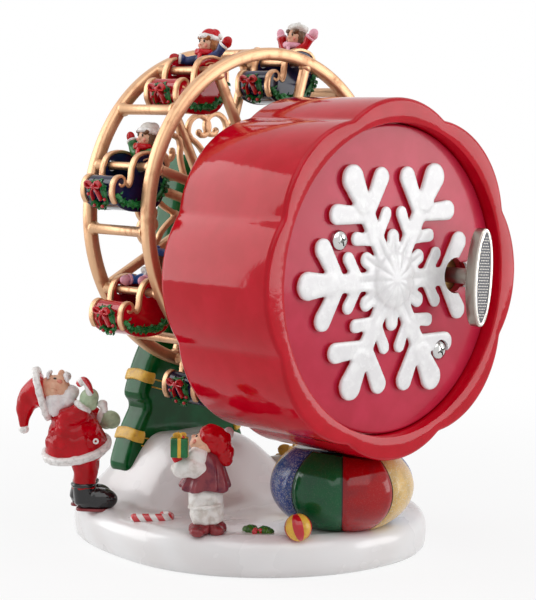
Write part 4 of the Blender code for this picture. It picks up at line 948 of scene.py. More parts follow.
def lobe(start, end, start_width, end_width, low, high):
    """A flat finger with round ends, wider at one end."""
    heading = math.atan2(end.y - start.y, end.x - start.x)
    outline = []
    for centre, width, first in ((start, start_width, 90), (end, end_width, -90)):
        for step in range(13):
            a = heading + math.radians(first + 15 * step)
            outline.append((centre.x + width / 2 * math.cos(a), centre.y + width / 2 * math.sin(a)))
    return slab(outline, low, high)


def snowflake():
    """Six branching arms, six petals between them and a creased boss, moulded as one relief."""
    root, top = COVER_FACE - 0.9, COVER_FACE + 1.75
    fingers = []
    for arm in range(6):
        for shift, start, end, start_width, end_width, rise in (
            (0, (3, 0), (26, 0), 5, 5.2, 0),
            (0, (24, 0), (31.6, 0), 5.4, 7.6, 0.1),
            (0, (20.2, 0), (26.4, -9.4), 4.2, 5.6, -0.05),
            (0, (12.6, 0), (17, -6.4), 3, 3.8, -0.15),
            (0, (20.2, 0), (26.4, 9.4), 4.2, 5.6, -0.05),
            (0, (12.6, 0), (17, 6.4), 3, 3.8, -0.15),
            (0.5, (4, 0), (11.6, 0), 3.6, 4.4, -0.2),
        ):
            turn = Matrix.Rotation(math.pi * (arm + shift) / 3, 2)
            start, end = turn @ Vector(start), turn @ Vector(end)
            fingers.append(lobe(start, end, start_width, end_width, root, top + rise))
    boss = ((8.8, root), (8.8, top - 0.6), (7, top + 0.5), (4, top + 1.1), (0, top + 1.25))
    points, faces = moulded(fingers + [lathe(boss, 48, "Y")], 0.34, 7, 0.6)
    creased = []
    for x, y, z in points:
        fade = max(0, 1 - abs(math.hypot(x, z) - 7.5) / 6.5)
        groove = abs(math.sin(6 * math.atan2(z, x))) ** 0.5 - 0.75
        creased.append((x, y + (0.55 * fade * groove if y > COVER_FACE + 0.8 else 0), z))
    x, z = SCREWS["cover_screw_lower"]
    screw_room = bar(3, COVER_FACE, 62, 32, x, z=z)
    return cut((creased, faces), bar(KEY_HOLE, 50, 62, 40, KEY_X), screw_room)


def cover():
    """The satin disc with its rounded edge, its holes and the snowflake on it."""
    edge = 0.8
    face = [(0, COVER_INNER), (COVER_RADIUS, COVER_INNER)]
    for a in (0, 0.4, 0.8, 1.2):
        face.append((COVER_RADIUS - edge * (1 - math.cos(a)), COVER_FACE - edge * (1 - math.sin(a))))
    face += [(COVER_RADIUS - edge, COVER_FACE), (0, COVER_FACE)]
    holes = [bar(KEY_HOLE, 50, 60, 40, KEY_X)]
    holes += [bar(1.5, 50, 60, 20, x, z=z) for x, z in SCREWS.values()]
    piece = Piece("snowflake_cover")
    piece.add(COVER_RED, placed(cut(lathe(face, 200, "Y"), *holes), at(z=DRUM_Z)))
    piece.add(FLAKE_WHITE, placed(snowflake(), at(z=DRUM_Z)))
    piece.done("root", ["back_cover"], "cover_red", sharp=45)


def screw(name, x, z):
    """A pan-head screw with a cross recess, seated on the cover."""
    under = COVER_FACE + 0.02
    profile = [(0, 50.4), (1.2, 50.4)]
    for radius, rise in ((1.2, 0), (2.7, 0), (2.75, 0.5), (2.6, 1), (2.2, 1.5), (1.4, 1.85),
                         (0.6, 1.95), (0, 1.97)):
        profile.append((radius, under + rise))
    blade = [(-1.5, -0.24), (1.5, -0.24), (1.5, 0.24), (-1.5, 0.24)]
    wedge = slab(blade, under + 0.8, under + 3)
    tools = [placed(wedge, turned(turn, "Y")) for turn in (20, 110)]
    tools.append(lathe(((0.3, under + 0.7), (0.85, under + 2.4)), 12, "Y"))
    head = placed(cut(lathe(profile, 48, "Y"), *tools), at(x, 0, DRUM_Z + z))
    Piece(f"{name}_head").add(CHROME, head).done("root", [name], "screw_chrome", sharp=35)


def key():
    """The winding key: brushed edge, polished rim and a stippled oval panel on each face."""
    low = COVER_FACE + 8
    high = low + 3.8
    half_width, half_height = 3.7, 13.5
    angles = [2 * math.pi * i / 72 for i in range(72)]

    def ovals(*levels):
        """The bow's outline at each (height, growth)."""
        rings = []
        for y, grow in levels:
            wide, tall = half_width + grow, half_height + grow
            rings.append([(wide * math.cos(a), y, tall * math.sin(a)) for a in angles])
        return rings

    edge = loft(ovals((low + 0.3, -0.35), (low + 0.5, -0.05), (low + 0.62, 0), (high - 0.62, 0),
                      (high - 0.5, -0.05), (high - 0.3, -0.35)))
    bead = ((0, -0.12), (0.22, -0.2), (0.3, -0.4), (0.3, -1.05), (0.2, -1.2), (-0.25, -1.3), (-0.3, -0.9))
    rims, panels = [], []
    for face, way in ((low, -1), (high, 1)):
        rim_face, panel_face = face - 0.32 * way, face - 0.34 * way
        rims.append(loft(ovals(*((rim_face + rise * way, grow) for rise, grow in bead)), closed=True))
        panels.append(loft(ovals((panel_face - 0.12 * way, -1.1), (panel_face + 0.12 * way, -1.1))))
    places = []
    for row in range(-14, 15):
        for column in range(-3, 4):
            x, z = 0.66 * (column + 0.5 * (row % 2)), 0.78 * row
            if (x / (half_width - 1.6)) ** 2 + (z / (half_height - 1.9)) ** 2 < 1:
                places.append((x, 0, z))
    stipple = dots_on("key_stipple", places, 0.24, RIM_NICKEL)
    dots = [placed(stipple, at(y=high - 0.32)), placed(stipple, at(y=low + 0.32) @ turned(180, "Z"))]
    stem = lathe(((0, 26), (1.6, 26), (1.6, 32.7), (2.2, 32.7), (2.2, low + 0.6), (0, low + 0.6)),
                 32, "Y")
    collar = lathe(((2.3, low - 2), (3, low - 1.6), (3, low + 0.2), (2.4, low + 0.5)), 32, "Y")
    lean = at(KEY_X, 0, DRUM_Z) @ turned(-3.6, "Y")
    piece = Piece("key_bow_and_stem")
    for finish, forms in ((NICKEL, [edge, stem, collar]), (RIM_NICKEL, rims), (KEY_PANEL, panels),
                          (RIM_NICKEL, dots)):
        piece.add(finish, *(placed(form, lean) for form in forms))
    piece.done("key", ["winding_key"], "key_nickel", sharp=40)


# The wheel


def on_wheel(number, turn=0):
    """The (x, z) where a gondola hangs, or a place turned on from it."""
    a = math.radians(FIRST_ANGLE + BETWEEN_GONDOLAS * (number - 1) + turn)
    return RING_RADIUS * math.cos(a), WHEEL_Z + RING_RADIUS * math.sin(a)


def heart_line():
    """One side of a heart scroll along +X: from its point, round the lobe and into a curl."""
    middle, size = 23.5, 9.6
    path = []
    for i in range(40):
        t = i / 39
        if t < 0.3:
            s = t / 0.3
            x, z = 0.70 * s, -1.05 + 0.85 * s + 0.14 * math.sin(math.pi * s)
        else:
            s = (t - 0.3) / 0.7
            turn = math.radians(-15 + 330 * s)
            reach = 0.50 * (1 - s) + 0.17 * s
            x, z = 0.30 + reach * math.cos(turn) - 0.08 * s, 0.06 + reach * math.sin(turn)
        path.append((middle + size * z, size * x))
    return path


def wheel_ring(name, y, with_hearts, stands_for):
    """A ring with its spokes, hub and joints; the far one also carries the heart scrolls."""
    rim = tube(ring_path(RING_RADIUS, 160, axis="Y"), 1, 18, True, (1.75, 1.75), ALONG_AXLE)
    hub = lathe(((AXLE_BORE, -2.2), (5, -2.2), (5.8, -1.6), (6, -0.8), (6, 0.8), (5.8, 1.6),
                 (5, 2.2), (3.2, 2.7), (AXLE_BORE, 2.7)), 48, "Y")
    spoke = curve([(4.6, 0, 0), (12, 0, 0), (30, 0, 0), (44.6, 0, 0)], 4)
    arm = together(
        tube(spoke, 1, 14, flat=(1.35, 1.25), up=ALONG_AXLE),
        blob((43.6, 0, 0), (1.5, 1.7, 2), sides=14, rows=8),
        blob((7, 0, 0), (1.7, 1.6, 1.7), sides=14, rows=8),
    )
    forms = [rim, hub, round_the_axle(f"{name}_spokes", arm, GONDOLAS, FIRST_ANGLE, GOLD)]
    if with_hearts:
        scroll = []
        for side in (1, -1):
            line = [(x, 0, side * z) for x, z in heart_line()]
            scroll.append(tube(line, 1, 10, flat=(0.8, 0.9), up=ALONG_AXLE))
            scroll.append(blob((line[-1][0], 0, line[-1][2]), (1.1, 0.9, 1.1), sides=14, rows=8))
        scroll.append(tube([(5, 0, 0), (10, 0, 0), (14.6, 0, 0)], 0.85, 10))
        scroll.append(blob((14.2, 0, 0), (1.5, 1.1, 1.5), sides=14, rows=8))
        first = FIRST_ANGLE + BETWEEN_GONDOLAS / 2
        forms.append(round_the_axle(f"{name}_hearts", together(*scroll), GONDOLAS, first, GOLD))
    piece = Piece(name).add(GOLD, *(placed(form, at(0, y, WHEEL_Z)) for form in forms))
    piece.done("wheel", [stands_for], "antique_gold", sharp=50)


def cross_bars():
    """The rods and tie bars between the rings, each with a small collar at both ends."""
    low, high = FRONT_RING_Y + 1.2, REAR_RING_Y - 1.2
    for number in range(1, GONDOLAS + 1):
        for kind, radius, turn in (("gondola_rod", 1.15, 0), ("tie_bar", 1.45, BETWEEN_GONDOLAS / 2)):
            x, z = on_wheel(number, turn)
            collar = radius + 0.45
            profile = ((0, low), (collar, low), (collar + 0.1, low + 0.8), (radius, low + 1.6),
                       (radius * 0.98, (low + high) / 2), (radius, high - 1.6),
                       (collar + 0.1, high - 0.8), (collar, high), (0, high))
            name = f"{kind}_{number}"
            piece = Piece(f"{name}_gold").add(GOLD, placed(lathe(profile, 24, "Y"), at(x, 0, z)))
            piece.done("wheel", [name], "antique_gold", sharp=50)


# Sleighs


def sleigh_side():
    """The side's outline about the rod, as in the casting."""
    arch, floor, back, dash = 3.7, -12.2, -9.5, 9.4
    points = (
        (-2.4, arch), (0.9, arch - 1), (2.5, arch - 3.4), (3.2, arch - 7.5), (4.4, arch - 9.1),
        (5, arch - 7.1), (6.8, arch - 6.1), (dash - 0.4, arch - 7.7), (dash, floor + 4.8),
        (dash - 2.4, floor + 1.5), (2, floor), (-5, floor + 0.6), (back + 1, floor + 4.4),
        (back, floor + 11), (back + 1.4, arch - 2.2), (-6.2, arch - 0.5),
    )
    return flat_curve(points, 5)


def sleigh_forms():
    """One sleigh about its rod: (paint forms, gold forms, garland forms, bow forms)."""

    def beside(y, points, steps=5):
        """A smooth line through (x, z) points in the plane at y."""
        return curve([(x, y, z) for x, z in points], steps)

    hole = bar(1.5, -9, 9)
    paint = [cut(slab(sleigh_side(), low, low + 1.5, 0.5), hole) for low in (-7, 5.5)]
    shell = beside(0, ((5, -4.6), (5.8, -3.3), (7.2, -3.3), (8.4, -4.9), (8.4, -7.7), (6.4, -10),
                       (1.8, -11.3), (-4.4, -10.8), (-7.8, -7.5), (-8.7, -1.8), (-7.9, 1)), 6)
    wall = []
    for point, before, after in zip(shell, [shell[0]] + shell[:-1], shell[1:] + [shell[-1]]):
        along = (after - before).normalized()
        thick = Vector((-along.z, 0, along.x)) * 0.75
        corners = ((1, -5.6), (1, 5.6), (-1, 5.6), (-1, -5.6))
        wall.append([tuple(point + thick * way + Vector((0, y, 0))) for way, y in corners])
    paint.append(loft(wall))
    gold, garland = [], []
    for y in (-6.25, 6.25):
        arch = beside(y, ((-9.1, -3.6), (-8.9, 0.5), (-7.6, 2.5), (-5.4, 3.5), (-2.4, 3.8), (0.8, 2.8),
                          (2.5, 0), (3, -3.4), (3.9, -5.2), (4.9, -4.8), (5.2, -4), (4.8, -3.6)))
        curl = beside(y, ((8.4, -9.6), (9.3, -7.6), (9.2, -4.9), (8.2, -3.1), (6.7, -2.5), (5.6, -3.3),
                          (5.7, -4.6), (6.6, -5.1), (7.3, -4.6), (7, -4)))
        for line, taper, tall in ((arch, [0.8, 0.75, 0.7, 0.65, 0.6, 0.55], 1.05),
                                  (curl, [0.9, 0.85, 0.8, 0.7, 0.6, 0.5], 1)):
            radii = [1] * (len(line) - len(taper)) + taper
            gold.append(tube(line, radii, 10, flat=(0.5, tall), up=ALONG_AXLE))
        face = math.copysign(7.08, y)
        line = beside(face, ((-7.6, -3), (-7.1, 0.2), (-5, 1.7), (-2.6, 2.2), (-0.9, 1.7)))
        gold.append(tube(line, 0.22, 6))
        swag = beside(face, ((8.2, -7.6), (6.2, -9.4), (2, -10.2), (-3.6, -9.7), (-7.2, -7),
                             (-8.7, -3.4)), 6)
        garland.append(tube(swag, 0.75, 8))
        garland.append(leaves_along("sleigh_swag", swag, 110, 1.5, 0.75, GARLAND, 5))
    nod = at(8.9, 0, -7.4) @ turned(16, "Y")
    wreath = [nod @ p for p in ring_path(3.4, 28, axis="X")]
    garland.append(tube(wreath, 0.7, 8, closed=True))
    garland.append(leaves_along("sleigh_wreath", wreath, 120, 1.5, 0.6, GARLAND, 9, True))
    bow = []
    for side in (-1, 1):
        loop = curve([(1, 0.3 * side, 2.7), (1.5, 2.2 * side, 4), (1.2, 2.9 * side, 2.6),
                      (1, 0.4 * side, 2.4)], 5)
        tail = curve([(1, 0.2 * side, 2.3), (1.3, 1.3 * side, 0.9), (0.9, 1.7 * side, -1.4)], 5)
        bow += [tube(loop, 0.6, 8, flat=(1.1, 0.5)), tube(tail, 0.55, 8, flat=(1.2, 0.45))]
    bow.append(blob((1.3, 0, 2.6), (0.7, 0.8, 0.75), sides=12, rows=8))
    for y, z in ((3.2, -1.2), (-3.4, 0.2), (1.6, -3.2), (-1.8, -3), (-2.9, 2)):
        bow.append(blob((0.9, y, z), (0.5, 0.5, 0.5), sides=10, rows=6))
    return paint, gold, garland, [placed(form, nod) for form in bow]


def hung(number):
    """Carries a form from the origin to a gondola's rod."""
    x, z = on_wheel(number)
    return at(x, GONDOLA_Y, z)


def sleighs():
    """The eight sleighs, navy and red in turn."""
    paint, gold, garland, bow = sleigh_forms()
    for number in range(1, GONDOLAS + 1):
        coat, slot = (NAVY, "sleigh_navy") if number % 2 else (SLEIGH_RED, "sleigh_red")
        piece = Piece(f"sleigh_{number}_trimmed")
        piece.add(coat, *paint).add(GOLD, *gold).add(GARLAND, *garland).add(BERRY, *bow)
        piece.done(f"gondola_{number}", [f"sleigh_{number}"], slot, hung(number), 45)


# The children in the sleighs


CHILDREN = (
    {"left": (-6.8, -5.6, 7.6), "right": (-7.4, 6.6, 6.2), "hat": "fur", "coat": COAT_GREEN,
     "mitten": HAT_RED, "scarf": HAT_RED, "hair": HAIR_BROWN, "cap": CLOTH_WHITE},
    {"left": (-1, -6.4, 3.6), "right": (-8.8, 7.2, 8.4), "hat": "fur", "coat": COAT_NAVY,
     "mitten": HAT_RED, "scarf": HAT_RED, "hair": HAIR_ORANGE, "cap": HAT_RED},
    {"left": (-7.6, -6.2, 8.8), "right": (-8.6, 6.8, 8.8), "hat": "beret", "coat": COAT_RED,
     "mitten": PINK, "scarf": PINK, "hair": HAIR_BROWN, "cap": CLOTH_WHITE},
    {"left": (-0.6, -3.6, 2.8), "right": (-0.8, 3.6, 3), "hat": "beret", "coat": COAT_BLUE,
     "mitten": PINK, "scarf": CLOTH_WHITE, "hair": HAIR_BROWN, "cap": COAT_BLUE},
)


def child(number):
    """A seated child: coat and sleeves in one casting, scarf, mittens, face, hair and hat."""
    look = CHILDREN[(number - 1) % len(CHILDREN)]
    middle = -6.2
    coat = [
        placed(lathe(((0, -7.2), (2, -7.2), (3, -5.6), (2.9, 0), (2.7, 2), (2.1, 4),
                      (1.4, 5.4), (0, 5.9)), 24), at(x=middle) @ Matrix.Diagonal((0.8, 1, 1, 1))),
        blob((middle, 0, 3.2), (1.9, 3.4, 1.5)),
        blob((-2.6, 1.4, -8), (4.8, 1.7, 1.9), sides=14, rows=10),
        blob((-2.6, -1.4, -8), (4.8, 1.7, 1.9), sides=14, rows=10),
    ]
    piece = Piece(f"child_{number}")
    for side in ("left", "right"):
        hand = Vector(look[side])
        shoulder = Vector((middle, math.copysign(2.3, hand.y), 3.2))
        elbow = shoulder.lerp(hand, 0.45) + Vector((0, math.copysign(0.5, hand.y), -0.5))
        cuff = shoulder.lerp(hand, 0.74)
        arm = curve([shoulder, elbow, cuff], 5)
        coat.append(tube(arm, [1.5, 1.5, 1.45, 1.4, 1.3, 1.25, 1.2, 1.25, 1.35, 1.45, 1.5], 12))
        along = (hand - cuff).normalized()
        band = facing(cuff + along * 0.3, along)
        piece.add(FUR if look["hat"] == "fur" else look["mitten"],
                  placed(tube(ring_path(1.2, 16), 0.42, 8, closed=True), band))
        palm = blob((0, 0, 1.5), (1.15, 1.4, 1.6), sides=16, rows=10)
        thumb = blob((0, -1.2, 1.1), (0.55, 0.6, 1), 0, 10, 8)
        piece.add(look["mitten"], placed(moulded([palm, thumb], 0.22, 3), band))
    piece.add(look["coat"], moulded(coat, 0.28, 5))
    scarf = roll(ring_path(2.1, 28, (middle - 0.5, 0, 5.25)), 0.9, 12, 0.35, 0.9)
    end = curve([(middle + 1.9, 0.6, 4.9), (middle + 2.5, 1, 3.1), (middle + 2.4, 1.3, 1.3)], 5)
    piece.add(look["scarf"], scarf, tube(end, 0.8, 10, flat=(0.9, 0.5), up=(1, 0, 0)))
    lean = middle - 1.7
    head = (lean + 0.1, 0, 7.8)
    face = moulded(
        [blob(head, (2.5, 2.45, 2.65)), blob((lean + 0.9, 0, 7), (1.8, 1.9, 1.6)),
         blob((lean + 2.6, 0, 7.65), (0.62, 0.5, 0.48), sides=12, rows=8)], 0.22, 3)
    piece.add(SKIN, face)
    features(
        piece, at(),
        (EYE, (lean + 2.35, 0.92, 8.45), (0.25, 0.3, 0.42), 8, 12, 8),
        (look["hair"], (lean + 2.3, 0.98, 9.15), (0.2, 0.5, 0.13), 20, 8, 6),
        (CHEEK, (lean + 2, 1.3, 7.25), (0.42, 0.62, 0.58), 0, 12, 8),
    )
    piece.add(BERRY, blob((lean + 2.38, 0, 6.65), (0.22, 0.55, 0.24), -10, 12, 8))
    locks = [blob((lean - 0.55, 0, 8.2), (2.6, 2.85, 2.9))]
    for side in (-1, 1):
        locks.append(blob((lean + 0.1, side * 2.35, 6.8), (1.1, 0.85, 1.9), 8, 12, 10))
        locks.append(blob((lean + 1.4, side * 1.5, 9.5), (1.1, 1, 0.7), 24, 12, 10))
    piece.add(look["hair"], crinkled(moulded(locks, 0.25, 3), 0.25, 1.6))
    tilt = at(lean - 0.35, 0, 9.3) @ turned(-16, "Y")
    if look["hat"] == "fur":
        crown = moulded([blob((0, 0, 0.6), (2.4, 2.6, 2.2)), blob((-1.2, 0.6, 1.7), (1.6, 1.6, 1.4))],
                        0.26, 4)
        piece.add(FUR, placed(roll(ring_path(2.4, 30), 0.75, 12, 0.3, 1.3), tilt))
        piece.add(look["cap"], placed(crown, tilt))
        piece.add(FUR, placed(crinkled(blob((-2, 1.9, 1), (0.9, 0.9, 0.9)), 0.25, 1.6), tilt))
    else:
        cap = moulded([blob((-0.3, 0, 1), (3.1, 3.15, 1.5)), blob((0, 0, 0.4), (2.6, 2.65, 1.3))],
                      0.26, 4)
        piece.add(look["cap"], placed(crinkled(cap, 0.3, 0.8), tilt))
        piece.add(look["cap"], placed(blob((-0.2, 0, 2.6), (0.6, 0.6, 0.5), 0, 10, 8), tilt))
    piece.done(f"gondola_{number}", [f"passenger_{number}"], "doll_paint", hung(number), 60)


# The tree


def tree_edge():
    """The right half of the outline, from the top down: three tiers with round tips."""
    half = []
    for top, top_width, tip, tip_width in TREE_TIERS:
        for step in range(9):
            t = step / 8
            wider = tip_width - top_width
            belly = 1.1 * math.sin(math.pi * t) * wider / 10
            half.append((top_width + wider * t + belly, top + (tip + 3 - top) * t))
        for degrees in (20, 50, 80):
            a = math.radians(degrees)
            half.append((tip_width - 1.8 * (1 - math.cos(a)), tip + 2 - 2 * math.sin(a)))
    return half


def tree_width(height):
    """The tree's half width at a height."""
    half = tree_edge()
    for (wide, top), (narrow, low) in zip(half, half[1:]):
        if low <= height <= top:
            share = (top - height) / max(top - low, 1e-6)
            return wide + (narrow - wide) * share
    return half[-1][0]


def tree():
    """A glossy fir plate with soft edges, its gold ribbons and the small things hung on it."""
    half = tree_edge()
    outline = half + [(-x, z) for x, z in reversed(half)]
    body = worked(
        slab(outline, TREE_FRONT, TREE_BACK, 2, steps=5),
        ("REMESH", {"mode": "VOXEL", "voxel_size": 0.7}),
        ("SMOOTH", {"factor": 0.5, "iterations": 5}),
    )
    room = bar(AXLE_BORE, TREE_FRONT + 1, TREE_BACK + 3, z=WHEEL_Z)
    piece = Piece("fir_tree").add(TREE_GREEN, cut(body, room))
    for height, wide in RIBBONS:
        band = []
        for side in (1, -1):
            x = side * (tree_width(height) - 0.1)
            slope = side * (tree_width(height - 1.6) - tree_width(height + 1.6)) / 3.2
            path = []
            for out, y, rise in (
                (-2.4, TREE_BACK + 0.15, -0.9), (-0.4, TREE_BACK - 0.4, -0.4), (0.1, TREE_BACK - 2, 0),
                (0.2, TREE_FRONT + 5, 0.3), (0.1, TREE_FRONT + 2, 0), (-0.4, TREE_FRONT + 0.4, -0.4),
                (-2.4, TREE_FRONT, -0.9),
            ):
                path.append((x + side * out, y, height + rise))
            up = (-slope, 0, 1)
            band.append(tube(curve(path, 4), 1, 12, flat=(0.55, wide / 2), up=up))
        piece.add(RIBBON_GOLD, *band)
        for level in (height - 0.9, height - 3.3):
            x = tree_width(height) - 2
            line = []
            for share, out, drop in ((1, 0.05, 0), (0.45, 0.12, 2.4), (0, 0.12, 4.4), (-0.5, 0.12, 5.4),
                                     (-1, 0.05, 5.2)):
                line.append((x * share, TREE_BACK + out, level - drop))
            piece.add(RIBBON_GOLD, tube(curve(line, 6), 0.22, 6))
    baubles = ((6.2, 86, BERRY), (-4.6, 78, RIBBON_GOLD), (1, 70, COAT_BLUE),
            (-8, 52, BERRY), (6, 54, RIBBON_GOLD), (-2, 45.5, COAT_BLUE),
            (-11, 31, RIBBON_GOLD), (8, 33, BERRY), (0, 34, RIBBON_GOLD))
    for x, z, paint in baubles:
        piece.add(paint, blob((x, TREE_FRONT - 0.1, z), (1.5, 1, 1.5), 0, 16, 10))
        piece.add(GOLD, blob((x, TREE_FRONT - 0.1, z + 1.6), (0.45, 0.4, 0.4), 0, 10, 6))
    finial = lathe(((0, 0), (0.7, 0.1), (0.9, 0.8), (0.5, 1.2), (0, 1.3)), 14)
    piece.add(RIBBON_GOLD, placed(finial, at(0, (TREE_FRONT + TREE_BACK) / 2, 110)))
    piece.done("root", ["tree_support"], "tree_green", sharp=60)


# Santa and the elf


def on_snow(x, y, turn=FIGURE_TURN, rise=0):
    """Carries a form from the origin to a place on the snow."""
    return at(x, y, SNOW_SEAT + rise) @ turned(turn, "Z")


def above_seat(form):
    """The form with everything under its seat pressed flat."""
    points, faces = form
    return [(x, y, max(z, 0.3)) for x, y, z in points], faces


def boots(piece):
    """Santa's boots: soft feet, brown soles and a roll round each top."""
    edge = [(-7.2, -1.6), (-4, -2.6), (1, -2.7), (4.2, 0), (1, 2.7), (-4, 2.6), (-7.2, 1.6)]
    for y, back in ((-3.4, 0), (3.4, 2.2)):
        top = (-5.4, y * 0.85, 7.6)
        leg = tube([(-4.8 - back, y, 2.4), (-5.2 - back / 2, y * 0.9, 5.6), top], 3.3, 18)
        toe = blob((-1 - back, y, 3.3), (5.4, 3.1, 3.4), -3)
        heel = blob((-4.6 - back, y, 3.6), (3.3, 3, 3.6))
        piece.add(BOOT_BLACK, above_seat(moulded([toe, heel, leg], 0.32, 4)))
        sole = flat_curve([(x - back, y + aside) for x, aside in edge], 4)
        piece.add(SHOE_BROWN, slab(sole, 0.2, 1, 0.3, "Z"))
        piece.add(BOOT_BLACK, roll(ring_path(3.1, 28, top), 0.7, 10, 0.2, 1.2))


def santa():
    """Santa bends right back to look up, one mitten raised with a sweet in it."""
    piece = Piece("santa")
    boots(piece)
    trousers = moulded(
        [tube([(-5.6, side * 2.9, 6), (-4.9, side * 2.9, 11), (-5.6, side * 2.4, 16)],
              [3.2, 3.5, 4.2], 18) for side in (-1, 1)]
        + [blob((-6.4, 0, 16.6), (6.4, 6.2, 4))],
        0.36, 5,
    )
    piece.add(COAT_RED, crinkled(trousers, 0.35, 0.35))
    coat = moulded(
        [blob((-8, 0, 19.6), (8.8, 7, 4.6)), blob((-8.3, 0, 22.4), (7.7, 6.8, 5.6)),
         blob((-8.9, 0, 26), (6.4, 6, 4.6)),
         tube([(-11, -4, 26.2), (-8.4, -5.2, 27.4), (-5.4, -5, 29.6)], [3.2, 3, 2.6], 18),
         tube([(-8.6, 4.4, 26.4), (-5, 5.9, 26), (-2.2, 5.6, 26.2)], [3.2, 3, 2.5], 18)],
        0.36, 4, 0.6,
    )
    piece.add(COAT_RED, crinkled(coat, 0.6, 0.32))
    round_body = ring_path(1, 44)
    hem = [(-7.7 + 9 * p.x, 7.1 * p.y, 17.4 + 2.4 * p.y + 1.6 * p.x) for p in round_body]
    skirt = [[(-7.7, 0, 18.4)]]
    for height, wide, deep, shift, slope in (
        (17.5, 8.8, 6.9, 0, 1), (18.4, 8.9, 7, -0.1, 0.95),
        (20.6, 8.3, 6.8, -0.4, 0.6), (23.6, 7.3, 6.3, -0.8, 0.3),
    ):
        ring = []
        for p in round_body:
            lift = slope * (2.4 * p.y + 1.6 * p.x)
            ring.append((-7.7 + shift + wide * p.x, deep * p.y, height + lift))
        skirt.append(ring)
    skirt.append([(-8.6, 0, 25)])
    piece.add(COAT_RED, crinkled(loft(skirt), 0.3, 0.5))
    piece.add(FUR, roll(hem, 1, 14, 0.25, 0.9, (1, 1.15)))
    button = [p + Vector((-1.7, -6.2, 20.6)) for p in ring_path(0.6, 18, axis="Y")]
    piece.add(FUR, tube(button, 0.3, 8, closed=True))
    mitten = moulded(
        [blob((0, 0, 3.2), (2.3, 2.7, 2.9)), blob((0.5, -2.3, 2.2), (1, 1.2, 1.8), 10, 14, 10),
         tube([(0, 0, -0.4), (0, 0, 2)], 1.8, 14)],
        0.3, 4,
    )
    for cuff, hand in (((-5.6, -5, 30.2), (-2.6, -4.4, 34.4)), ((-1.4, 5.6, 26.2), (2.9, 5.3, 24.4))):
        wrist = facing(Vector(cuff), (Vector(hand) - Vector(cuff)).normalized())
        piece.add(FUR, placed(roll(ring_path(1.9, 26), 0.9, 12, 0.25, 1), wrist))
        piece.add(MITTEN_GREEN, placed(mitten, wrist))
    fold = [blob((0, -4.6, 31), (1.5, 1.6, 1.3)), blob((0.6, -4.8, 29.6), (1, 1.2, 1.2))]
    piece.add(CLOTH_WHITE, moulded(fold, 0.3, 3))
    sweet = curve([(-3.4, -6, 34.2), (-4, -6.2, 36.6), (-5.2, -6.2, 38), (-6.4, -6.1, 37)], 6)
    piece.add(CANDY, tube(sweet, 1.1, 12))
    head = Vector((-13.9, 0, 34.4))
    up = Matrix.Translation(head) @ turned(-76, "Y")
    face = moulded(
        [blob((0, 0, 0), (4.2, 4.2, 4.6)), blob((2.6, 0, -0.8), (1.8, 2.7, 2.2)),
         blob((4.9, 0, -0.6), (1.2, 1, 1), 0, 14, 10)],
        0.26, 3,
    )
    piece.add(SKIN, placed(face, up))
    features(
        piece, up,
        (EYE, (3.4, 2.3, 0.7), (0.34, 0.36, 0.45), 8, 14, 10),
        (CHEEK, (3, 2.7, -0.9), (0.6, 0.8, 0.8), 0, 14, 10),
        (SKIN, (0.2, 4.1, 0.1), (0.7, 0.5, 1.1), 0, 12, 8),
    )
    for side in (-1, 1):
        brow = curve([(4.6, 0.6 * side, 2.4), (4.2, 1.7 * side, 2.9), (3.2, 2.7 * side, 2.6)], 4)
        lip = curve([(4.9, 0.3 * side, -1.9), (4.6, 1.7 * side, -2.4), (3.5, 3 * side, -3)], 5)
        moustache = crinkled(tube(lip, [0.85] * 8 + [0.65, 0.5, 0.35], 10), 0.2, 1.6)
        piece.add(BEARD, placed(tube(brow, 0.5, 8), up), placed(moustache, up))
    piece.add(CHEEK, placed(blob((4.3, 0, -2.9), (0.35, 0.75, 0.3), 0, 12, 8), up))
    beard = moulded(
        [blob((-9.6, 0, 33.4), (2.6, 4, 2.4)), blob((-11.2, 0, 31.2), (3.6, 4.6, 3)),
         blob((-13.6, 2.8, 30.8), (3.2, 2, 3.6)), blob((-13.6, -2.8, 30.8), (3.2, 2, 3.6)),
         blob((-13.4, 0, 28.6), (2.6, 4, 2.4))],
        0.34, 4,
    )
    piece.add(BEARD, crinkled(crinkled(beard, 0.35, 0.45), 0.15, 1.5))
    band = [(-17.6 - 1.8 * p.y, 5 * p.x, 33.2 + 6.6 * p.y) for p in ring_path(1, 40)]
    piece.add(FUR, roll(band, 1, 14, 0.25, 0.9, (1.15, 1)))
    hat = moulded(
        [tube(curve([(-17.4, 0, 33.3), (-19.2, 0, 33), (-21, 0, 31.8), (-22.2, -0.2, 29.6),
                     (-22.8, -0.4, 27), (-22.9, -0.4, 23.8)], 4),
              [6 * (1 - 0.8 * (i / 20) ** 0.85) for i in range(21)], 28)],
        0.34, 5,
    )
    piece.add(HAT_RED, crinkled(hat, 0.3, 0.4))
    piece.add(FUR, crinkled(blob((-22.8, -0.4, 23), (1.45, 1.45, 1.4)), 0.25, 1.1))
    piece.done("root", ["santa_figure"], "figure_paint", on_snow(*SANTA_SPOT), 70)


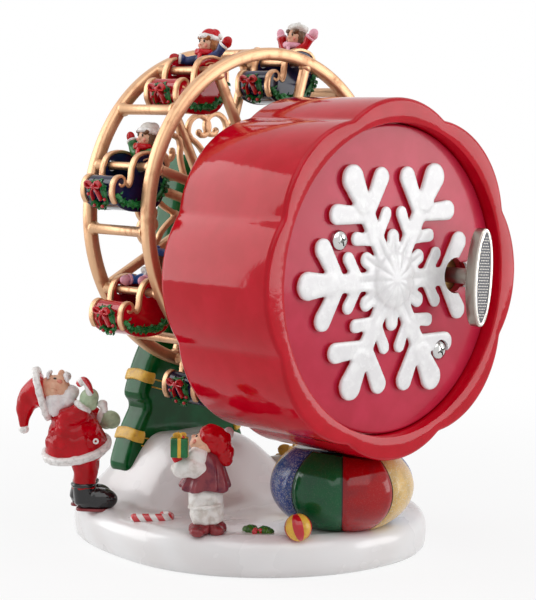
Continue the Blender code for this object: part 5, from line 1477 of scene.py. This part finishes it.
def elf():
    """The elf holds a gift up to the wheel: floppy hat, puffed sleeves, plum vest."""
    piece = Piece("elf")
    for x, y, turn in ((-2.3, -0.8, -12), (2, 0.8, 14)):
        shoe = moulded([blob((0, 0, 1.9), (3.1, 2.6, 2.1)), blob((-0.2, -2.2, 1.6), (2.1, 2.2, 1.6)),
                        blob((0.2, 0.3, 3.4), (1.9, 1.9, 1.9))], 0.28, 4)
        stance = at(x, y, 0) @ turned(turn, "Z")
        piece.add(SHOE_BROWN, above_seat(placed(crinkled(shoe, 0.2, 0.9), stance)))
    trousers = moulded(
        [tube([(-1.9, -0.6, 3.6), (-2, -0.6, 6.6), (-1.8, 0, 11)], [2.6, 3.1, 3.5], 16),
         tube([(1.5, 0.8, 3.6), (1.2, 0.8, 6.6), (0.6, 0.4, 11)], [2.5, 3, 3.4], 16),
         blob((-0.8, 0, 11.6), (4.5, 4.2, 2.6))],
        0.32, 3,
    )
    piece.add(CLOTH_WHITE, crinkled(trousers, 0.45, 0.45))
    fold = [(-0.8 + 4.15 * p.x, 3.9 * p.y, 8.2 + 0.5 * p.x) for p in ring_path(1, 30)]
    piece.add(CLOTH_WHITE, roll(fold, 0.6, 10, 0.3, 0.7))
    rings = []
    for low, wide, across, shift in (
        (12.6, 4.6, 4.3, -0.6), (12.5, 6.4, 5.6, -0.9), (13.4, 6.9, 5.9, -1), (15.4, 6, 5.4, -0.7),
        (18.2, 4.9, 4.7, -0.3), (21, 4, 4.1, -0.4), (23.6, 2.7, 2.9, -0.7),
    ):
        ring = []
        for i in range(72):
            a = 2 * math.pi * i / 72
            fullness = min(1, (22 - low) / 8)
            pleat = 1 + (0.075 * math.sin(9 * a) + 0.04 * math.sin(17 * a + 1)) * fullness
            drop = 0.5 * math.sin(4 * a + 1) * max(0, (16 - low) / 4)
            ring.append((shift + wide * pleat * math.cos(a), across * pleat * math.sin(a), low + drop))
        rings.append(ring)
    vest = worked(loft(rings), ("SUBSURF", {"levels": 1, "render_levels": 1}))
    piece.add(VEST_PLUM, vest)
    near = [blob((-4.6, -3.4, 19.2), (4.3, 3, 3), 12), blob((-7.4, -3.6, 18.8), (2.5, 2.5, 2.6)),
            blob((-3, -2.4, 21.8), (2.9, 2.9, 3))]
    far = tube([(1.4, 1.6, 20), (3.4, 3.6, 22), (4.3, 4.8, 24.2)], [2.7, 2.6, 2.4], 16)
    piece.add(CLOTH_WHITE, crinkled(moulded(near, 0.3, 5), 0.4, 0.5))
    piece.add(CLOTH_WHITE, crinkled(moulded([far], 0.3, 4), 0.35, 0.5))
    for paint, hand, turn in ((HAT_RED, (-8.3, -3.7, 21.3), -20), (MITTEN_PALE, (5.1, 5.4, 26.3), 15)):
        palm = blob((0, 0, 0.6), (1.5, 1.5, 1.9), turn)
        thumb = blob((0.7, -0.8, 0.7), (0.7, 0.7, 1.1), turn, 12, 8)
        piece.add(paint, placed(moulded([palm, thumb], 0.22, 3), at(*hand)))
    look_up = at(-1.4, 0, 24.8) @ turned(180 + 38, "Y") @ turned(180, "X")
    face = moulded(
        [blob((0, 0, 0), (3.3, 3.2, 3.5)), blob((1.9, 0, -1), (1.6, 2.2, 1.8)),
         blob((3.3, 0, 0), (0.8, 0.7, 0.65), 0, 12, 8)], 0.24, 3)
    piece.add(SKIN, placed(face, look_up))
    features(
        piece, look_up,
        (EYE, (2.95, 1.15, 0.75), (0.28, 0.3, 0.42), 8, 12, 8),
        (CHEEK, (2.5, 1.7, -0.6), (0.55, 0.75, 0.7), 0, 12, 8),
    )
    for side in (-1, 1):
        ear = moulded([blob((-0.3, 3 * side, -0.9), (1, 0.6, 1.5), -10, 14, 10),
                       blob((0.1, 3.2 * side, -1.9), (0.6, 0.5, 0.7), 0, 12, 8)], 0.2, 2)
        piece.add(SKIN, placed(ear, look_up))
    hat = moulded(
        [blob((0.6, 0, 26.8), (3.3, 3.9, 3.4), -20), blob((2.9, 0.1, 25.2), (3.4, 3.8, 4.2), -10),
         blob((4, 0.2, 22.6), (2.7, 3, 3.4)), blob((4.6, 0, 20.9), (1.9, 2.2, 2)),
         blob((1.2, 0.6, 28.6), (1.9, 2.4, 1.5))],
        0.28, 3,
    )
    piece.add(HAT_RED, crinkled(crinkled(hat, 0.7, 0.36), 0.15, 1))
    piece.done("root", ["elf_figure"], "figure_paint", on_snow(*ELF_SPOT), 65)


# Gifts and what lies on the snow


def wrapped_box(piece, side, height, paper):
    """A box with soft corners, a crossed ribbon that stands proud, and a looped bow."""
    half, corner = side / 2, 0.09 * side
    outline = []
    for x, y, first in ((1, 1, 0), (-1, 1, 90), (-1, -1, 180), (1, -1, 270)):
        for step in range(4):
            a = math.radians(first + 30 * step)
            outline.append((x * (half - corner) + corner * math.cos(a),
                            y * (half - corner) + corner * math.sin(a)))
    piece.add(paper, slab(outline, 0.3, height, corner, "Z"))
    over = curve([(half, 0, 0.4), (half, 0, height - corner), (half - corner, 0, height), (0, 0, height),
                  (corner - half, 0, height), (-half, 0, height - corner), (-half, 0, 0.4)], 3)
    ribbon = tube(over, 1, 10, flat=(0.022 * side, 0.1 * side), up=(0, 1, 0.01))
    piece.add(RIBBON_GOLD, *(placed(ribbon, turned(turn, "Z")) for turn in (0, 90)))
    shape = ((0.02, 0.03), (0.16, 0.2), (0.32, 0.16), (0.2, 0.03), (0.03, 0.04))
    path = curve([(out * side, 0, height + rise * side) for out, rise in shape], 5)
    loop = tube(path, 1, 10, flat=(0.04 * side, 0.11 * side))
    piece.add(RIBBON_GOLD, *(placed(loop, turned(turn, "Z")) for turn in (200, 290, 20, 110)))
    knot = blob((0, 0, height + 0.07 * side), (0.09 * side, 0.09 * side, 0.07 * side), 0, 14, 10)
    piece.add(RIBBON_GOLD, knot)


def gifts():
    """The elf's gift and the two boxes on the snow."""
    held = Piece("held_gift")
    wrapped_box(held, 4.6, 5.4, GIFT_GREEN)
    held.add(BERRY, blob((0.9, -1.2, 5.75), (0.55, 0.55, 0.4), 0, 12, 8),
             blob((-0.9, 1.1, 5.75), (0.5, 0.5, 0.4), 0, 12, 8))
    held.done("root", ["elf_gift"], "gift_paint", on_snow(*ELF_SPOT) @ at(-7.6, -5.9, 22.2), 40)
    for name, slot, side, x, y, turn, paper in (
        ("gift_box_large", "candy_white", 11, -30, -12.5, 12, CLOTH_WHITE),
        ("gift_box_small", "gift_paint", 8.5, -38.5, 0.5, 30, GIFT_STRIPES),
    ):
        piece = Piece(f"{name}_wrapped")
        wrapped_box(piece, side, 0.8 * side, paper)
        piece.done("root", [name], slot, on_snow(x, y, turn), 40)


def striped_ball():
    """A small ornament with red and gold gores, lying on the snow."""
    radius, gores = 3.75, 8
    piece = Piece("striped_ball")
    sides, rows = 96, 24
    for paint, first in ((BERRY, 0), (RIBBON_GOLD, 1)):
        for gore in range(first, gores, 2):
            low, high = sides // gores * gore, sides // gores * (gore + 1)
            points, faces = [], []
            span = high - low + 1
            for row in range(rows + 1):
                a = math.pi * (row + 0.02) / (rows + 0.04)
                for i in range(low, high + 1):
                    turn = 2 * math.pi * i / sides
                    edge = 1 - 0.02 * (i in (low, high))
                    reach = radius * math.sin(a) * edge
                    points.append((reach * math.cos(turn), reach * math.sin(turn), -radius * math.cos(a)))
            for row in range(rows):
                for i in range(span - 1):
                    start = row * span + i
                    faces.append((start, start + 1, start + span + 1, start + span))
            shell = worked((points, faces), ("SOLIDIFY", {"thickness": 0.5, "offset": -1}))
            piece.add(paint, shell)
    lean = at(22.5, 44.5, SNOW_SEAT + 0.3 + 0.82 * 3.8) @ turned(20, "X") @ turned(24, "Z")
    piece.done("root", ["small_ball"], "ball_paint", lean, 40)


def candy_cane():
    """A striped stick with a hooked end, lying on the snow."""
    half, hook = 5, 2.1
    path = [(-half, 0, 0), (-half / 2, 0, 0), (0, 0, 0), (half - hook, 0, 0)]
    for step in range(1, 6):
        a = math.radians(-90 + 36 * step)
        path.append((half - hook + hook * math.cos(a), hook + hook * math.sin(a), 0))
    cane = tube(curve(path, 5), 1.25, 18)
    piece = Piece("candy_stick").add(CANDY, cane)
    piece.done("root", ["candy_cane"], "candy_white", on_snow(39, 3, rise=1.4), 60)


def holly():
    """Two lumpy toothed leaves with a raised rib and three berries."""
    piece = Piece("holly_leaves")
    for heading in (150, 260):
        edge, steps = [], 48
        for i in range(steps):
            a = 2 * math.pi * i / steps
            spike = 1 - 0.24 * (1 - abs(math.cos(3.5 * a)))
            edge.append((2.6 + 2.6 * spike * math.cos(a), 2 * spike * math.sin(a)))
        rings = []
        for share, lift in ((1, 0.2), (1, 0.9), (0.8, 1.5), (0.45, 1.8)):
            ring = []
            for x, y in edge:
                bow = 0.4 * math.sin(max(0, x) / 5.2 * math.pi)
                ring.append((2.6 + (x - 2.6) * share, y * share, lift + bow))
            rings.append(ring)
        rings.append([(2.6, 0, 1.9)])
        piece.add(HOLLY, placed(crinkled(loft(rings), 0.3, 1.1), turned(heading, "Z")))
        rib = [(0.3, 0, 1.3), (2.6, 0, 2.2), (4.8, 0, 1.2)]
        piece.add(GARLAND, placed(tube(curve(rib, 4), 0.2, 6), turned(heading, "Z")))
    for x, y, z in ((0, 0, 1.2), (1.1, 0.9, 1.1), (-0.8, 1.2, 1.1)):
        piece.add(BERRY, blob((x, y, z), (0.8, 0.8, 0.8), 0, 16, 10))
    piece.done("root", ["holly_sprig"], "holly_green", on_snow(27, 32.5, 0), 50)


# Metal of the nodes that stay as they are


def plate_metal():
    """Brass and steel for the movement's own meshes."""
    brass = ("movement_bedplate", "movement_bridge", "great_gear", "axle_gear", "music_cylinder", "governor")
    # The brass parts take the darkened brass, whose colour carries painted shade for the closed drum's
    # inside.
    for names, finish in ((brass, BRASS_WITH_PAINTED_SHADE), (("spring_barrel", "comb", "wheel_axle"), STEEL)):
        for name in names:
            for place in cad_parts[name].material_slots:
                place.material = finish.material


snow()
ornament_ball()
drum()
cover()
for screw_name, (screw_x, screw_z) in SCREWS.items():
    screw(screw_name, screw_x, screw_z)
key()
wheel_ring("rear_ring", REAR_RING_Y, False, "rear_wheel_frame")
wheel_ring("front_ring", FRONT_RING_Y, True, "front_wheel_frame")
cross_bars()
sleighs()
for seat in range(1, GONDOLAS + 1):
    child(seat)
tree()
santa()
elf()
gifts()
striped_ball()
candy_cane()
holly()
plate_metal()


# Floor, light and camera


def stage_floor():
    """A pale floor that fades into the white background."""
    sheet = bpy.data.meshes.new("pale_floor")
    reach = 3.0
    corners = [(x * reach, y * reach, 0.0) for x, y in ((-1, -1), (1, -1), (1, 1), (-1, 1))]
    sheet.from_pydata(corners, [], [(0, 1, 2, 3)])
    made = bpy.data.objects.new("pale_floor", sheet)
    bpy.context.scene.collection.objects.link(made)
    finish = Finish("floor_white", (0.86, 0.86, 0.86), 0.8)
    x, y = finish.parts(finish.place())[:2]
    far = (x * x + y * y).math("SQRT").step(90.0, 330.0)
    seen = finish.node("ShaderNodeLightPath") + finish.node("ShaderNodeLightPath", output=3)
    glow = finish.node("ShaderNodeEmission", None, (1.0, 1.0, 1.0, 1.0), 1.0)
    share = seen.math("MINIMUM", 1.0) * (0.84 + 0.16 * far)
    paint = Value(finish, finish.shader.outputs[0])
    both = finish.node("ShaderNodeMixShader", None, share, paint, glow)
    finish.tree.links.new(both.socket, finish.tree.nodes["Material Output"].inputs["Surface"])
    sheet.materials.append(finish.material)


def white_world():
    """White to the eye and to gloss, softer as a light."""
    world = bpy.data.worlds.new("studio")
    world.use_nodes = True
    nodes, links = world.node_tree.nodes, world.node_tree.links
    plain = nodes["Background"]
    plain.inputs["Color"].default_value = (1.0, 1.0, 1.0, 1.0)
    path = nodes.new("ShaderNodeLightPath")
    bright = path.outputs["Is Camera Ray"]
    for ray in ("Is Transmission Ray", "Is Glossy Ray"):
        either = nodes.new("ShaderNodeMath")
        either.operation = "MAXIMUM"
        links.new(bright, either.inputs[0])
        links.new(path.outputs[ray], either.inputs[1])
        bright = either.outputs[0]
    level = nodes.new("ShaderNodeMapRange")
    level.inputs["To Min"].default_value = 0.3
    links.new(bright, level.inputs["Value"])
    links.new(level.outputs[0], plain.inputs["Strength"])
    bpy.context.scene.world = world


def soft_box(name, direction, distance, size, watts):
    """A square lamp that faces the part's middle."""
    lamp = bpy.data.lights.new(name, "AREA")
    lamp.shape = "RECTANGLE"
    lamp.size, lamp.size_y = size
    lamp.energy = watts
    made = bpy.data.objects.new(name, lamp)
    heading = Vector(direction).normalized()
    middle = Vector((0.0, 0.0, 0.08))
    made.location = middle + heading * distance
    made.rotation_euler = heading.to_track_quat("Z", "Y").to_euler()
    bpy.context.scene.collection.objects.link(made)


def photo_camera():
    """The photograph's own camera: place, direction, roll and lens."""
    yaw, pitch, roll = -2.3876, math.radians(-5.64), 0.0113
    ahead = Vector((math.cos(pitch) * math.sin(yaw), math.cos(pitch) * math.cos(yaw), math.sin(pitch)))
    level = Vector((math.cos(yaw), -math.sin(yaw), 0.0))
    lift = level.cross(ahead)
    c, s = math.cos(-roll), math.sin(-roll)
    right, up = level * c - lift * s, level * s + lift * c
    turn = Matrix((right, up, -ahead)).transposed()
    lens = bpy.data.cameras.new("photo_camera")
    lens.sensor_fit = "VERTICAL"
    lens.sensor_height = 36.0
    lens.lens = 114.0
    made = bpy.data.objects.new("photo_camera", lens)
    made.matrix_world = Matrix.Translation((0.3713, 0.4031, 0.1241)) @ turn.to_4x4()
    bpy.context.scene.collection.objects.link(made)
    bpy.context.scene.camera = made


stage_floor()
white_world()
for lamp in (
    ("cover_light", (-0.66, 0.74, 0.08), 0.8, (0.42, 0.5), 2.5),
    ("side_light", (0.52, -0.74, 0.24), 0.8, (0.5, 0.8), 4.0),
    ("top_light", (0.25, 0.45, 0.85), 0.9, (1.1, 1.1), 4.8),
):
    soft_box(*lamp)
photo_camera()
bpy.context.scene.view_settings.view_transform = "Standard"
